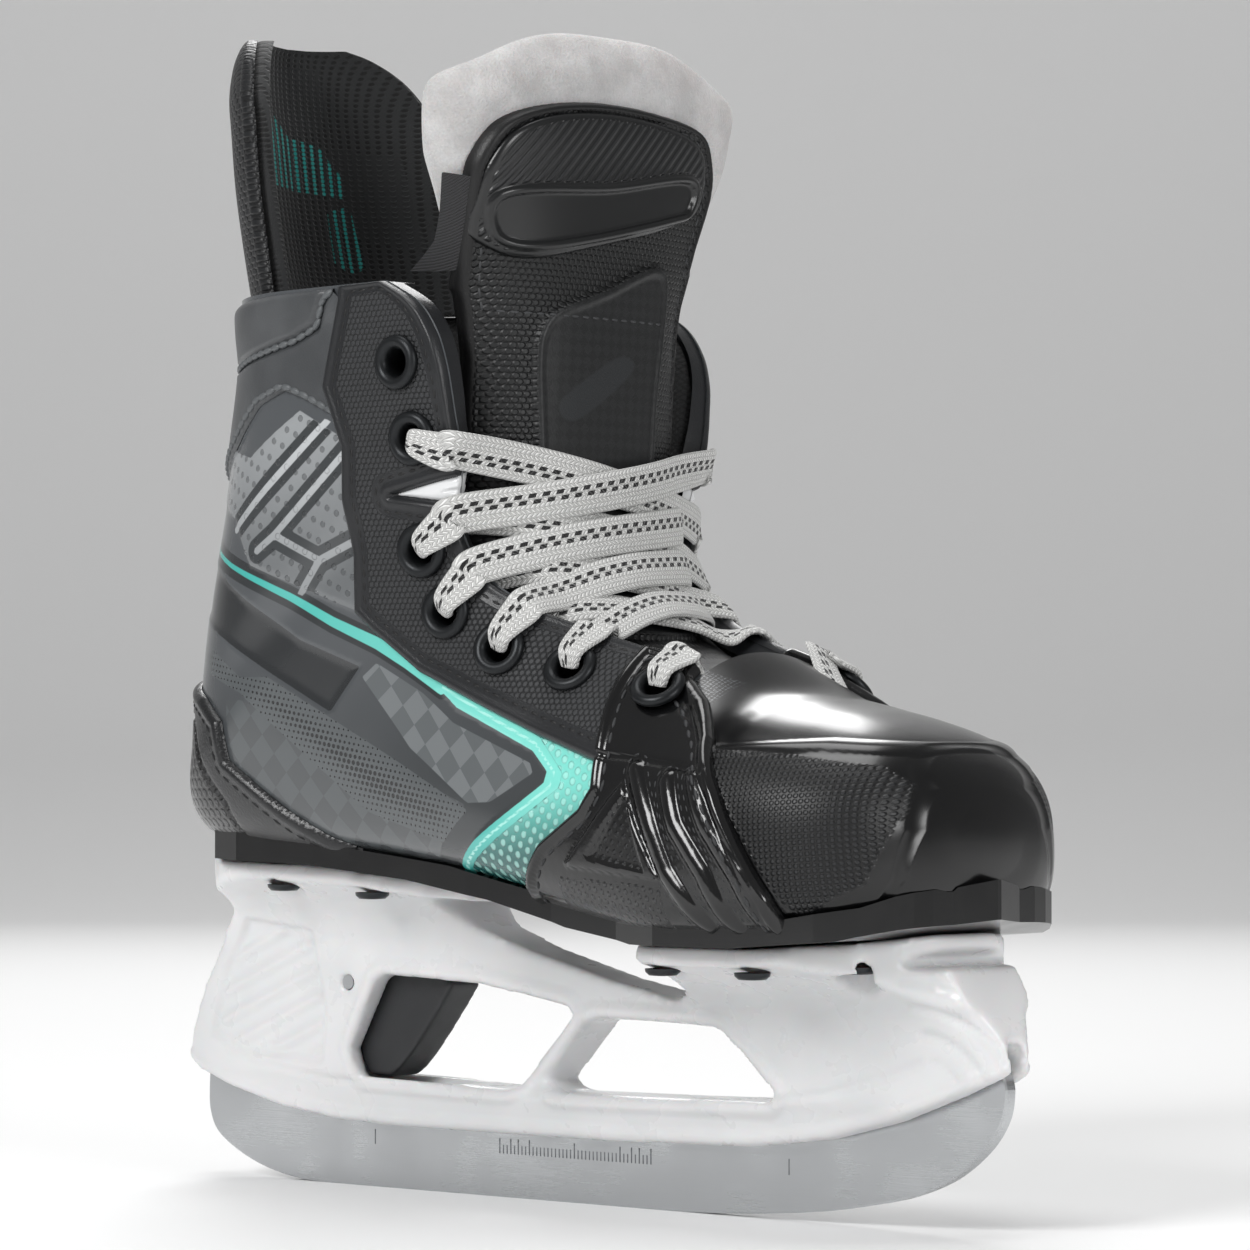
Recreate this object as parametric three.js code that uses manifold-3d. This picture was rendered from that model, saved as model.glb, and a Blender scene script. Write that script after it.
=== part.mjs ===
// A youth ice hockey skate, in millimetres.
// +X is the toe, +Y is the wearer's left, +Z is up, and the ice is z = 0.
import * as THREE from 'three';
import { mergeVertices } from 'three/addons/utils/BufferGeometryUtils.js';
import Module from 'manifold-3d';

const wasm = await Module();
wasm.setup();

// ---- driving dimensions -------------------------------------------------------------------------
const SKATE_LENGTH = 215;         // heel of the blade holder to its nose
const BOOT_WIDTH = 77;            // across the ball of the foot
const SKATE_HEIGHT = 234;         // ice to the top of the tendon guard
const CLEARANCE = 0.3;            // gap kept between two pieces that touch
const SEAM_CLEARANCE = 0.55;      // the same between two curved layers, whose facets differ

const SHELL_THICKNESS = 2;
const LINER_THICKNESS = 3.2;
const LINER_BACKSET = 17;         // the liner stops this far short of the lacing edge
const OVERLAY_THICKNESS = 1.4;    // facings, heel counter and collar panels
const STRAP_THICKNESS = 1.8;
const FACING_WIDTH = 24;

const RUNNER_THICKNESS = 3;
const RUNNER_SLOT_CLEARANCE = 0.25;
const RAIL_HALF_WIDTH = 5.2;
const TOWER_HALF_WIDTH = 8.6;
const FLANGE_THICKNESS = 3.6;
const OUTSOLE_LIP = 1.8;          // the outsole's wall stands this far outside the boot

const TRIGGER_WIDTH = 8.4;
const TRIGGER_CLEARANCE = 0.5;
const PIN_RADIUS = 1.5;

const EYELET_COUNT = 7;
const EYELET_HOLE_RADIUS = 2.5;
const EYELET_BARREL_RADIUS = 3.1;
const EYELET_FLANGE_RADIUS = 5.3;
const EYELET_HEIGHT = 1.6;
const EYELET_SEAT = 0.5;          // the flange stands clear of the curved facing
const EYELET_BACKSET = 10.5;      // eyelet centre to the lacing edge
const RIVET_HEAD_RADIUS = 3.4;
const RIVET_SHANK_RADIUS = 1.8;
const RIVET_HEAD_HEIGHT = 1.3;

const LACE_WIDTH = 8;
const LACE_NECK_WIDTH = 4;
const LACE_THICKNESS = 1.3;

const TONGUE_COVER_THICKNESS = 2;
const TONGUE_FELT_THICKNESS = 7;

// The tables below are drawn for a skate of these sizes and are stretched to the driving ones.
const DRAWN_LENGTH = 215;
const DRAWN_WIDTH = 77;
const DRAWN_HEIGHT = 234;
const alongX = (value) => (value * SKATE_LENGTH) / DRAWN_LENGTH;
const alongY = (value) => (value * BOOT_WIDTH) / DRAWN_WIDTH;
const alongZ = (value) => (value * SKATE_HEIGHT) / DRAWN_HEIGHT;

// ---- finishes -----------------------------------------------------------------------------------
const finish = (color, roughness, metalness = 0) => (
  new THREE.MeshStandardMaterial({ color, roughness, metalness })
);
const STEEL = finish('#c9cbcc', 0.22, 1);
const WHITE_PLASTIC = finish('#f1f1f2', 0.35);
const DARK_PLASTIC = finish('#3a3b3d', 0.5);
const BLACK_GLOSS = finish('#0c0c0d', 0.18);
const BLACK_SATIN = finish('#1b1c1e', 0.45);
const QUARTER_GREY = finish('#4b5054', 0.35);
const FACING_GREY = finish('#2c2d2f', 0.6);
const COLLAR_GREY = finish('#47494b', 0.45);
const LINING = finish('#1a1b1c', 0.95);
const FOOTBED_FOAM = finish('#2f3234', 0.9);
const FELT = finish('#d8d8d8', 0.95);
const LACE_COTTON = finish('#ececea', 0.9);
const LABEL_GREY = finish('#a9a9a9', 0.8);

// ---- small tools --------------------------------------------------------------------------------
const group = new THREE.Group();

/** A closed mesh as a manifold solid. */
function solid(geometry) {
  const plain = geometry.index ? geometry.clone() : geometry;
  plain.deleteAttribute('normal');
  plain.deleteAttribute('uv');
  const merged = mergeVertices(plain, 1e-4);
  return new wasm.Manifold(new wasm.Mesh({
    numProp: 3,
    vertProperties: Float32Array.from(merged.attributes.position.array),
    triVerts: Uint32Array.from(merged.index.array),
  }));
}

/** A manifold solid as a three.js geometry. */
function geometryOf(manifold) {
  const mesh = manifold.getMesh();
  const geometry = new THREE.BufferGeometry();
  const positions = new Float32Array(mesh.numVert * 3);
  for (let i = 0; i < mesh.numVert; i += 1) {
    positions.set(mesh.vertProperties.subarray(i * mesh.numProp, i * mesh.numProp + 3), i * 3);
  }
  geometry.setAttribute('position', new THREE.BufferAttribute(positions, 3));
  geometry.setIndex(new THREE.BufferAttribute(Uint32Array.from(mesh.triVerts), 1));
  geometry.computeVertexNormals();
  return geometry;
}

/** The largest separate piece of a solid. */
function largest(manifold) {
  const pieces = manifold.decompose();
  return pieces.reduce((best, piece) => (piece.volume() > best.volume() ? piece : best));
}

function add(name, manifold, material) {
  const mesh = new THREE.Mesh(geometryOf(manifold), material);
  mesh.name = name;
  group.add(mesh);
}

const subtract = (base, ...cutters) => cutters.reduce((left, cutter) => left.subtract(cutter), base);
const unite = (...solids) => solids.reduce((left, right) => left.add(right));
const range = (count) => Array.from({ length: count }, (_, i) => i);
const mix = (a, b, t) => a + (b - a) * t;

/** A smooth curve through evenly numbered values. */
function smooth(values, u) {
  const last = values.length - 1;
  const i = Math.min(Math.max(Math.floor(u), 0), last - 1);
  const t = Math.min(Math.max(u - i, 0), 1);
  const [a, b] = [values[Math.max(i - 1, 0)], values[i]];
  const [c, d] = [values[i + 1], values[Math.min(i + 2, last)]];
  const v0 = (c - a) / 2;
  const v1 = (d - b) / 2;
  return (2 * b - 2 * c + v0 + v1) * t ** 3 + (-3 * b + 3 * c - 2 * v0 - v1) * t ** 2 + v0 * t + b;
}

/** Straight-line reading of a table of [place, value]. */
function readTable(table, place) {
  const sorted = table[0][0] < table[table.length - 1][0] ? table : [...table].reverse();
  if (place <= sorted[0][0]) return sorted[0][1];
  for (let i = 1; i < sorted.length; i += 1) {
    const [p0, v0] = sorted[i - 1];
    const [p1, v1] = sorted[i];
    if (place <= p1) return mix(v0, v1, (place - p0) / (p1 - p0));
  }
  return sorted[sorted.length - 1][1];
}

/** A closed skin over rows of points: each row is a loop, and both ends are closed by a fan. */
function loftSolid(rows) {
  const count = rows[0].length;
  const points = rows.flat();
  const faces = [];
  for (let i = 0; i + 1 < rows.length; i += 1) {
    for (let j = 0; j < count; j += 1) {
      const k = (j + 1) % count;
      const [a, b] = [i * count + j, i * count + k];
      const [c, d] = [b + count, a + count];
      faces.push(a, b, c, a, c, d);
    }
  }
  for (const [row, flip] of [[0, true], [rows.length - 1, false]]) {
    const centre = rows[row].reduce((sum, p) => sum.clone().add(p), new THREE.Vector3()).divideScalar(count);
    const hub = points.push(centre) - 1;
    for (let j = 0; j < count; j += 1) {
      const [a, b] = [row * count + j, row * count + ((j + 1) % count)];
      faces.push(...(flip ? [hub, b, a] : [hub, a, b]));
    }
  }
  return solidFrom(points, faces);
}

/** A closed plate between two grids of points with the same rows and columns. */
function plateSolid(outer, inner) {
  const rows = outer.length;
  const columns = outer[0].length;
  const loops = range(rows).map((i) => [...outer[i], ...[...inner[i]].reverse()]);
  const count = columns * 2;
  const points = loops.flat();
  const faces = [];
  for (let i = 0; i + 1 < rows; i += 1) {
    for (let j = 0; j < count; j += 1) {
      const k = (j + 1) % count;
      const [a, b, c, d] = [i * count + j, i * count + k, (i + 1) * count + k, (i + 1) * count + j];
      faces.push(a, b, c, a, c, d);
    }
  }
  for (const [row, flip] of [[0, true], [rows - 1, false]]) {
    for (let j = 0; j + 1 < columns; j += 1) {
      const [a, b] = [row * count + j, row * count + j + 1];
      const [c, d] = [row * count + count - 2 - j, row * count + count - 1 - j];
      faces.push(...(flip ? [a, c, b, a, d, c] : [a, b, c, a, c, d]));
    }
  }
  return solidFrom(points, faces);
}

function solidFrom(points, faces) {
  const geometry = new THREE.BufferGeometry();
  geometry.setFromPoints(points);
  geometry.setIndex(faces);
  const made = solid(geometry);
  if (made.volume() >= 0) return made;
  const turned = [];
  for (let i = 0; i < faces.length; i += 3) turned.push(faces[i], faces[i + 2], faces[i + 1]);
  const again = new THREE.BufferGeometry();
  again.setFromPoints(points);
  again.setIndex(turned);
  return solid(again);
}

/** A flat outline in side view, [x, z] points, pushed across from y = low to y = high. */
function sidePrism(outline, low, high) {
  const shape = new THREE.Shape(outline.map(([x, z]) => new THREE.Vector2(alongX(x), alongZ(z))));
  const geometry = new THREE.ExtrudeGeometry(shape, { depth: high - low, bevelEnabled: false });
  geometry.rotateX(Math.PI / 2);
  geometry.translate(0, high, 0);
  return solid(geometry);
}

/** An outline in plan, [x, y] points in real millimetres, pushed up from z = low to z = high. */
function planPrism(outline, low, high) {
  const shape = new THREE.Shape(outline.map(([x, y]) => new THREE.Vector2(x, y)));
  const geometry = new THREE.ExtrudeGeometry(shape, { depth: high - low, bevelEnabled: false });
  geometry.translate(0, 0, low);
  return solid(geometry);
}

/** A cylinder between two points. */
function rod(from, to, radius, sides = 16) {
  const axis = to.clone().sub(from);
  const geometry = new THREE.CylinderGeometry(radius, radius, axis.length(), sides);
  geometry.applyQuaternion(new THREE.Quaternion().setFromUnitVectors(
    new THREE.Vector3(0, 1, 0),
    axis.clone().normalize(),
  ));
  const middle = from.clone().add(to).multiplyScalar(0.5);
  geometry.translate(middle.x, middle.y, middle.z);
  return solid(geometry);
}

// ---- the boot's outer surface -------------------------------------------------------------------
// Stations run from the toe tip (0), along the foot, round the heel and up to the collar (22). Each is a
// section in the plane from the sole or back line (bx, bz) to the lacing edge or top line (tx, tz).
const STATIONS = [
  // bx, bz, tx, tz, half width, height of the widest place, bottom squareness, top squareness, crown
  [100.8, 64.5, 101.5, 77.0, 9.5, 6.0, 2.2, 2.2, 0],
  [99.9, 60.6, 100.4, 82.0, 17.0, 10.0, 2.6, 2.2, 0],
  [97.7, 58.0, 97.8, 86.4, 23.5, 13.0, 3.4, 2.3, 0],
  [93.2, 56.6, 93.4, 89.8, 29.4, 15.0, 4.2, 2.4, 0],
  [86.7, 55.6, 86.7, 92.4, 33.8, 16.0, 4.8, 2.5, 0],
  [78.0, 54.8, 77.6, 94.9, 36.8, 17.0, 5.0, 2.5, 0],
  [68.1, 54.3, 67.4, 97.2, 38.2, 18.0, 5.0, 2.5, 0],
  [59.5, 54.2, 57.9, 99.6, 38.5, 18.0, 5.0, 2.2, 0.6],
  [50.8, 54.4, 45.5, 103.8, 38.0, 17.5, 5.0, 1.95, 4.5],
  [37.0, 56.2, 32.0, 107.8, 36.6, 19.0, 4.8, 2.05, 6.0],
  [18.0, 59.4, 20.5, 111.6, 35.0, 21.0, 4.6, 2.25, 7.0],
  [-4.0, 63.0, 11.5, 115.8, 34.0, 26.0, 4.6, 2.8, 8.0],
  [-26.0, 65.6, 3.5, 121.5, 33.6, 34.0, 4.6, 3.5, 10.0],
  [-49.0, 67.2, -0.5, 128.5, 34.2, 42.0, 4.2, 4.2, 12.0],
  [-73.0, 68.6, -0.8, 135.0, 35.0, 51.0, 3.4, 4.8, 14.0],
  [-89.0, 72.4, 0.4, 141.0, 35.6, 54.0, 2.6, 5.2, 16.0],
  [-91.0, 83.0, 1.0, 146.4, 36.0, 52.0, 2.3, 5.6, 18.0],
  [-89.6, 97.0, 1.0, 151.6, 37.0, 48.0, 2.2, 5.8, 20.0],
  [-86.6, 113.0, 0.8, 157.0, 37.6, 44.0, 2.15, 6.0, 22.0],
  [-82.4, 130.0, 0.2, 162.6, 38.2, 41.0, 2.1, 6.0, 24.0],
  [-79.0, 147.0, -1.8, 168.4, 38.5, 39.0, 2.1, 6.0, 26.0],
  [-76.4, 163.0, -6.4, 174.0, 38.5, 37.0, 2.1, 6.0, 28.0],
  [-76.8, 178.0, -15.0, 178.6, 38.5, 36.0, 2.1, 6.0, 30.0],
];
const STATION_SCALES = [alongX, alongZ, alongX, alongZ, alongY, alongZ, Number, Number, alongZ];
const STATION_COLUMNS = STATION_SCALES.map((scale, c) => STATIONS.map((row) => scale(row[c])));
const COLLAR_STATION = STATIONS.length - 1;
const SECTION_STEPS = 72;

/** One section as points [y, height] from the bottom to the edge, with the length run so far. */
function sectionAt(u) {
  const row = STATION_COLUMNS.map((column) => smooth(column, u));
  const [bx, bz, tx, tz, width, wide, bottom, top, crown] = row;
  const rise = Math.hypot(tx - bx, tz - bz);
  const above = rise + crown - wide;
  const points = [];
  for (let i = 0; i <= SECTION_STEPS; i += 1) {
    const angle = (Math.PI / 2) * (i / SECTION_STEPS);
    const r = ((Math.sin(angle) / width) ** bottom + (Math.cos(angle) / wide) ** bottom) ** (-1 / bottom);
    points.push([r * Math.sin(angle), wide - r * Math.cos(angle)]);
  }
  for (let i = 1; i <= SECTION_STEPS; i += 1) {
    const angle = (Math.PI / 2) * (i / SECTION_STEPS);
    const r = ((Math.cos(angle) / width) ** top + (Math.sin(angle) / above) ** top) ** (-1 / top);
    const [y, h] = [r * Math.cos(angle), wide + r * Math.sin(angle)];
    if (h > rise && crown > 1e-6) {
      const [y0, h0] = points[points.length - 1];
      if (h0 < rise) points.push([mix(y0, y, (rise - h0) / (h - h0)), rise]);
    }
    points.push([y, h]);
  }
  let run = 0;
  let edge = null;
  const lengths = points.map(([y, h], i) => {
    if (i > 0) run += Math.hypot(y - points[i - 1][0], h - points[i - 1][1]);
    if (edge === null && h >= rise - 1e-6) edge = run;
    return run;
  });
  const direction = [(tx - bx) / rise, (tz - bz) / rise];
  return { points, lengths, edge: edge ?? run, total: run, base: [bx, bz], direction };
}

const sectionCache = new Map();
function section(u) {
  const key = u.toFixed(5);
  if (!sectionCache.has(key)) sectionCache.set(key, sectionAt(u));
  return sectionCache.get(key);
}

/** A point of the surface: s is the length round the section from the bottom, negative on the right. */
function surfacePoint(u, s) {
  const { points, lengths, base, direction } = section(u);
  const run = Math.min(Math.abs(s), lengths[lengths.length - 1]);
  let low = 0;
  let high = lengths.length - 1;
  while (high - low > 1) {
    const mid = (low + high) >> 1;
    if (lengths[mid] <= run) low = mid;
    else high = mid;
  }
  const t = (run - lengths[low]) / Math.max(lengths[high] - lengths[low], 1e-9);
  const y = mix(points[low][0], points[high][0], t) * Math.sign(s || 1);
  const h = mix(points[low][1], points[high][1], t);
  return new THREE.Vector3(base[0] + direction[0] * h, y, base[1] + direction[1] * h);
}

/** The same point pushed out along the surface's normal. */
function boot(u, s, offset = 0) {
  const point = surfacePoint(u, s);
  if (offset === 0) return point;
  const du = 0.08;
  const ds = 1.2;
  const u0 = Math.max(u - du, 0);
  const u1 = Math.min(u + du, COLLAR_STATION);
  const total = section(u).total;
  const s0 = Math.max(s - ds, -total);
  const s1 = Math.min(s + ds, total);
  const alongU = surfacePoint(u1, s).sub(surfacePoint(u0, s));
  const alongS = surfacePoint(u, s1).sub(surfacePoint(u, s0));
  const normal = alongU.cross(alongS).normalize();
  return point.addScaledVector(normal, offset);
}
const edgeOf = (u) => section(u).edge;

/** A layer on the boot between two stations and two edges, each edge given as a length at a station. */
function bootLayer(u0, u1, rows, from, to, columns, inside, outside) {
  const grid = (offset) => range(rows + 1).map((i) => {
    const u = mix(u0, u1, i / rows);
    return range(columns + 1).map((j) => boot(u, mix(from(u), to(u), j / columns), offset));
  });
  return plateSolid(grid(outside), grid(inside));
}

// ---- shell, liner, toe cap ----------------------------------------------------------------------
const SHELL_START = 7.35;         // station where the shell meets the toe cap
const TOE_END = 7.3;
const eyeletStations = [19.55, 17.3, 13.8, 12.25, 10.95, 9.62, 8.1];
const sides = [['right', -1], ['left', 1]];

const SHELL_ROWS = 20;
const SHELL_COLUMNS = 20;
let shell = bootLayer(
  SHELL_START,
  COLLAR_STATION,
  SHELL_ROWS,
  (u) => -edgeOf(u),
  edgeOf,
  SHELL_COLUMNS,
  -SHELL_THICKNESS,
  0,
);
const LINER_CLEARANCE = 1.02;     // the liner is soft, and its facets are coarser than its gap
const linerTop = -SHELL_THICKNESS - LINER_CLEARANCE;
const linerEdge = (u) => edgeOf(u) - LINER_BACKSET;
const liner = bootLayer(
  SHELL_START + 0.1,
  COLLAR_STATION - 0.15,
  16,
  (u) => -linerEdge(u),
  linerEdge,
  16,
  linerTop - LINER_THICKNESS,
  linerTop,
);

const TOE_ROWS = 11;
const TOE_AROUND = 26;
const toeLoop = (u, offset) => {
  const { total } = section(u);
  return range(TOE_AROUND).map((j) => boot(u, -total + (2 * total * (j + 0.5)) / TOE_AROUND, offset));
};
const toeForm = (offset) => loftSolid(
  range(TOE_ROWS + 1).map((i) => toeLoop((TOE_END * i) / TOE_ROWS, offset)),
);

/** The shell's outside, filled in across the lacing, for cutting. */
const shellForm = (offset) => loftSolid(range(SHELL_ROWS + 1).map((i) => {
  const u = i === 0 ? SHELL_START - 0.1 : mix(SHELL_START, COLLAR_STATION, i / SHELL_ROWS);
  return range(SHELL_COLUMNS + 1).map((j) => boot(u, mix(-edgeOf(u), edgeOf(u), j / SHELL_COLUMNS), offset));
}));

function toeCapSolid() {
  const hollowRows = range(TOE_ROWS).map(
    (i) => toeLoop(mix(0.9, TOE_END, i / (TOE_ROWS - 1)), -SHELL_THICKNESS),
  );
  const behind = toeLoop(TOE_END, -SHELL_THICKNESS).map((p) => p.setX(p.x - 3));
  return subtract(toeForm(0), loftSolid([...hollowRows, behind]));
}
const toeCap = toeCapSolid();

// ---- layers stitched on the boot ----------------------------------------------------------------
const OVERLAY_INSIDE = SEAM_CLEARANCE;
const OVERLAY_OUTSIDE = SEAM_CLEARANCE + OVERLAY_THICKNESS;
const STRAP_OUTSIDE = SEAM_CLEARANCE + STRAP_THICKNESS;
const WIDE = BOOT_WIDTH;          // reach of a cutter across the boot

const STRAP_OUTLINE = [
  [34.5, 116], [36.5, 87], [37.2, 81], [34.5, 77.5], [24, 71], [15.5, 62.5], [13, 50], [88, 48],
  [82, 56.2], [77.5, 63.5], [73.5, 74], [71, 86.4], [68.5, 97], [62, 105], [54, 116],
];
const strapBand = sidePrism(STRAP_OUTLINE, -WIDE, WIDE);
const strapFoot = () => alongY(27);
const strapTop = (u) => {
  if (u >= 8) return edgeOf(u);
  const { total } = section(u);
  const { total: total8, edge: edge8 } = section(8);
  return total - (total8 - edge8) * (1 - 0.12 * (8 - u));
};

function strapSolid(side) {
  const layer = bootLayer(
    4.2,
    11.4,
    14,
    (u) => side * strapFoot(u),
    (u) => side * strapTop(u),
    12,
    OVERLAY_INSIDE,
    STRAP_OUTSIDE,
  );
  return largest(layer.intersect(strapBand));
}

const FACING_START = 8.3;
const facingInner = (u) => edgeOf(u) - FACING_WIDTH;
const strapRoom = sidePrism(STRAP_OUTLINE.map(([x, z]) => [x < 50 ? x - 0.4 : x, z]), -WIDE, WIDE);
function facingSolid(side) {
  const layer = bootLayer(
    FACING_START,
    COLLAR_STATION,
    22,
    (u) => side * facingInner(u),
    (u) => side * edgeOf(u),
    4,
    OVERLAY_INSIDE,
    OVERLAY_OUTSIDE,
  );
  return largest(layer.subtract(strapRoom));
}

const COUNTER_OUTLINE = [
  [-114, 104], [-86, 103.5], [-73, 100.5], [-67, 91], [-65, 82.5], [-50, 75.5], [-34, 71], [-26, 66],
  [-30, 58], [-114, 58],
];
const counterLayer = bootLayer(11, 18.6, 12, () => -64, () => 64, 20, OVERLAY_INSIDE, OVERLAY_OUTSIDE);
const counterBand = sidePrism(COUNTER_OUTLINE, -WIDE, WIDE);

const collarEdge = (u) => edgeOf(u) - FACING_WIDTH - CLEARANCE;
const collarPanel = bootLayer(
  19.6,
  COLLAR_STATION,
  4,
  (u) => -collarEdge(u),
  collarEdge,
  24,
  OVERLAY_INSIDE,
  OVERLAY_OUTSIDE,
);

// A white wedge fills the notch in each lacing edge, between the second and third eyelets.
const NOTCH_OUTLINE = [[-15, 137.2], [6, 134.4], [6, 142]];
const NOTCH_WEDGE = [[-13.6, 137.3], [6, 135], [6, 141.2]];
const notchCut = sidePrism(NOTCH_OUTLINE, -WIDE, WIDE);
const notchFill = sidePrism(NOTCH_WEDGE, -WIDE, WIDE);
function notchSolid(side) {
  const layer = bootLayer(
    13,
    18,
    10,
    (u) => side * (edgeOf(u) - 16),
    (u) => side * (edgeOf(u) - 1),
    4,
    -SHELL_THICKNESS,
    OVERLAY_INSIDE + 0.8,
  );
  return largest(layer.intersect(notchFill));
}

// ---- eyelets ------------------------------------------------------------------------------------
const BORE_CLEARANCE = 0.2;

/** Where an eyelet sits and which way it points. */
function eyeletPlace(index, side) {
  const u = eyeletStations[index];
  const s = side * (edgeOf(u) - EYELET_BACKSET);
  const outside = index === EYELET_COUNT - 1 ? STRAP_OUTSIDE : OVERLAY_OUTSIDE;
  const point = boot(u, s, outside);
  const normal = point.clone().sub(boot(u, s, outside - 2)).normalize();
  return { point, normal, outside };
}

function eyeletSolid({ point, normal, outside }) {
  const foot = -(outside + SHELL_THICKNESS + 0.6);
  const seat = EYELET_SEAT;
  const profile = [
    [EYELET_HOLE_RADIUS, foot],
    [EYELET_BARREL_RADIUS, foot],
    [EYELET_BARREL_RADIUS, seat],
    [EYELET_FLANGE_RADIUS, seat],
    [EYELET_FLANGE_RADIUS - 0.5, seat + EYELET_HEIGHT * 0.7],
    [EYELET_HOLE_RADIUS + 0.6, seat + EYELET_HEIGHT],
    [EYELET_HOLE_RADIUS, foot],
  ].map(([r, h]) => new THREE.Vector2(r, h));
  const geometry = new THREE.LatheGeometry(profile, 12);
  geometry.applyQuaternion(new THREE.Quaternion().setFromUnitVectors(new THREE.Vector3(0, 1, 0), normal));
  geometry.translate(point.x, point.y, point.z);
  return solid(geometry);
}

const eyeletBore = ({ point, normal }) => rod(
  point.clone().addScaledVector(normal, -12),
  point.clone().addScaledVector(normal, 6),
  EYELET_BARREL_RADIUS + BORE_CLEARANCE,
  10,
);
const eyelets = sides.flatMap(([word, side]) => range(EYELET_COUNT).map((i) => {
  const place = eyeletPlace(i, side);
  return { name: `eyelet_${word}_${i + 1}`, side, index: i, place, bore: eyeletBore(place) };
}));
const boresOn = (side) => eyelets.filter((e) => e.side === side).map((e) => e.bore);

// ---- tendon guard -------------------------------------------------------------------------------
const GUARD_THICKNESS = 1.8;
const GUARD_PAD_THICKNESS = 2.6;
const GUARD_BOTTOM = 178.6;
const GUARD_ARC = 75;             // the guard reaches this many degrees round each side
const GUARD_ROWS = [
  // height, back x, depth, half width
  [GUARD_BOTTOM, -78.8, 28, 30],
  [190, -82, 29, 29.6],
  [202, -84.6, 29, 29.2],
  [214, -87, 30, 29],
  [222, -88.4, 31, 28.6],
  [228, -88.6, 28, 27],
  [231.6, -88, 20, 22],
  [233.7, -87.4, 12, 16],
];

function guardPoint(row, across, inset) {
  const [z, back, depth, half] = GUARD_ROWS[row];
  const angle = (across * GUARD_ARC * Math.PI) / 180;
  const x = alongX(back) + inset + (alongX(depth) - inset * 0.3) * (1 - Math.cos(angle));
  return new THREE.Vector3(x, (alongY(half) - inset) * Math.sin(angle), alongZ(z));
}

function guardPlate(outside, inside) {
  const grid = (inset) => range(GUARD_ROWS.length).map(
    (row) => range(13).map((j) => guardPoint(row, j / 6 - 1, inset)),
  );
  return plateSolid(grid(outside), grid(inside));
}

// ---- tongue -------------------------------------------------------------------------------------
const TONGUE_STATIONS = [
  // centre x, centre z, half width, depth of the curve, squareness
  [56, 97, 16, 4, 2.4],
  [44, 101.2, 19, 6, 2.5],
  [31, 106, 22, 9, 2.6],
  [20, 111.5, 24.5, 12, 2.8],
  [12.5, 118.5, 26.5, 16, 2.9],
  [8.5, 127.5, 28, 20, 3],
  [7.5, 138.5, 29, 23, 3],
  [8, 151, 29.6, 25, 3],
  [8.7, 163, 30.2, 27, 3],
  [9.4, 175, 31.8, 26, 2.9],
  [10.4, 187, 36.5, 19, 2.7],
  [11.8, 199, 42, 13.5, 2.5],
  [13.2, 210, 45, 10, 2.3],
  [13.4, 219.5, 44, 8, 2.2],
  [11.6, 228.6, 36, 6, 2.1],
];
const TONGUE_SCALES = [alongX, alongZ, alongY, alongX, Number];
const TONGUE_COLUMNS = TONGUE_SCALES.map((scale, c) => TONGUE_STATIONS.map((row) => scale(row[c])));
const TONGUE_TOP = TONGUE_STATIONS.length - 1;
const TONGUE_HINGE = 8.5;         // station where the tongue bends
const TOP_REACH = 0.78;           // share of the flared top's width that its thickness keeps turning over

function tongueSkin(v, c) {
  const [x, z, half, depth, square] = TONGUE_COLUMNS.map((column) => smooth(column, v));
  const slope = (column) => smooth(column, v + 0.2) - smooth(column, v - 0.2);
  const [dx, dz] = [slope(TONGUE_COLUMNS[0]), slope(TONGUE_COLUMNS[1])];
  const length = Math.hypot(dx, dz);
  const bulge = depth * (1 - (1 - Math.min(Math.abs(c), 1) ** square) ** (1 / square));
  return new THREE.Vector3(x - (dz / length) * bulge, half * c, z + (dx / length) * bulge);
}

function tonguePoint(v, c, offset) {
  const point = tongueSkin(v, c);
  const reach = mix(0.97, TOP_REACH, Math.min(Math.max((v - 9) / 2, 0), 1));
  const at = Math.min(Math.max(c, -reach), reach);
  const alongV = tongueSkin(Math.min(v + 0.15, TONGUE_TOP), at).sub(tongueSkin(Math.max(v - 0.15, 0), at));
  const alongC = tongueSkin(v, at + 0.02).sub(tongueSkin(v, at - 0.02));
  const normal = alongC.cross(alongV).normalize();
  return point.addScaledVector(normal, offset);
}

/** A layer of the tongue between two rows, from one share of the half width to another. */
function tongueLayer(v0, v1, rows, from, to, columns, outside, inside) {
  const grid = (offset) => range(rows + 1).map((i) => {
    const v = mix(v0, v1, i / rows);
    return range(columns + 1).map((j) => {
      const t = (2 * j) / columns - 1;
      const even = Math.sin((t * Math.PI) / 2) * 0.5 + t * 0.5;
      return tonguePoint(v, mix(from(v), to(v), (even + 1) / 2), offset);
    });
  });
  return plateSolid(grid(outside), grid(inside));
}
const FELT_OUTSIDE = -TONGUE_COVER_THICKNESS - SEAM_CLEARANCE * 1.4;
const FELT_INSIDE = FELT_OUTSIDE - TONGUE_FELT_THICKNESS;
const hingeX = alongX(10.5);
const hingeZ = smooth(TONGUE_COLUMNS[1], TONGUE_HINGE);
const TONGUE_BACK_ANGLE = 7;      // room for the upper tongue to tip back, in degrees
const TONGUE_GAP = 0.4;
const tongueRoomSlope = Math.tan((TONGUE_BACK_ANGLE * Math.PI) / 180);
const tongueDepthReach = 60;

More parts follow.
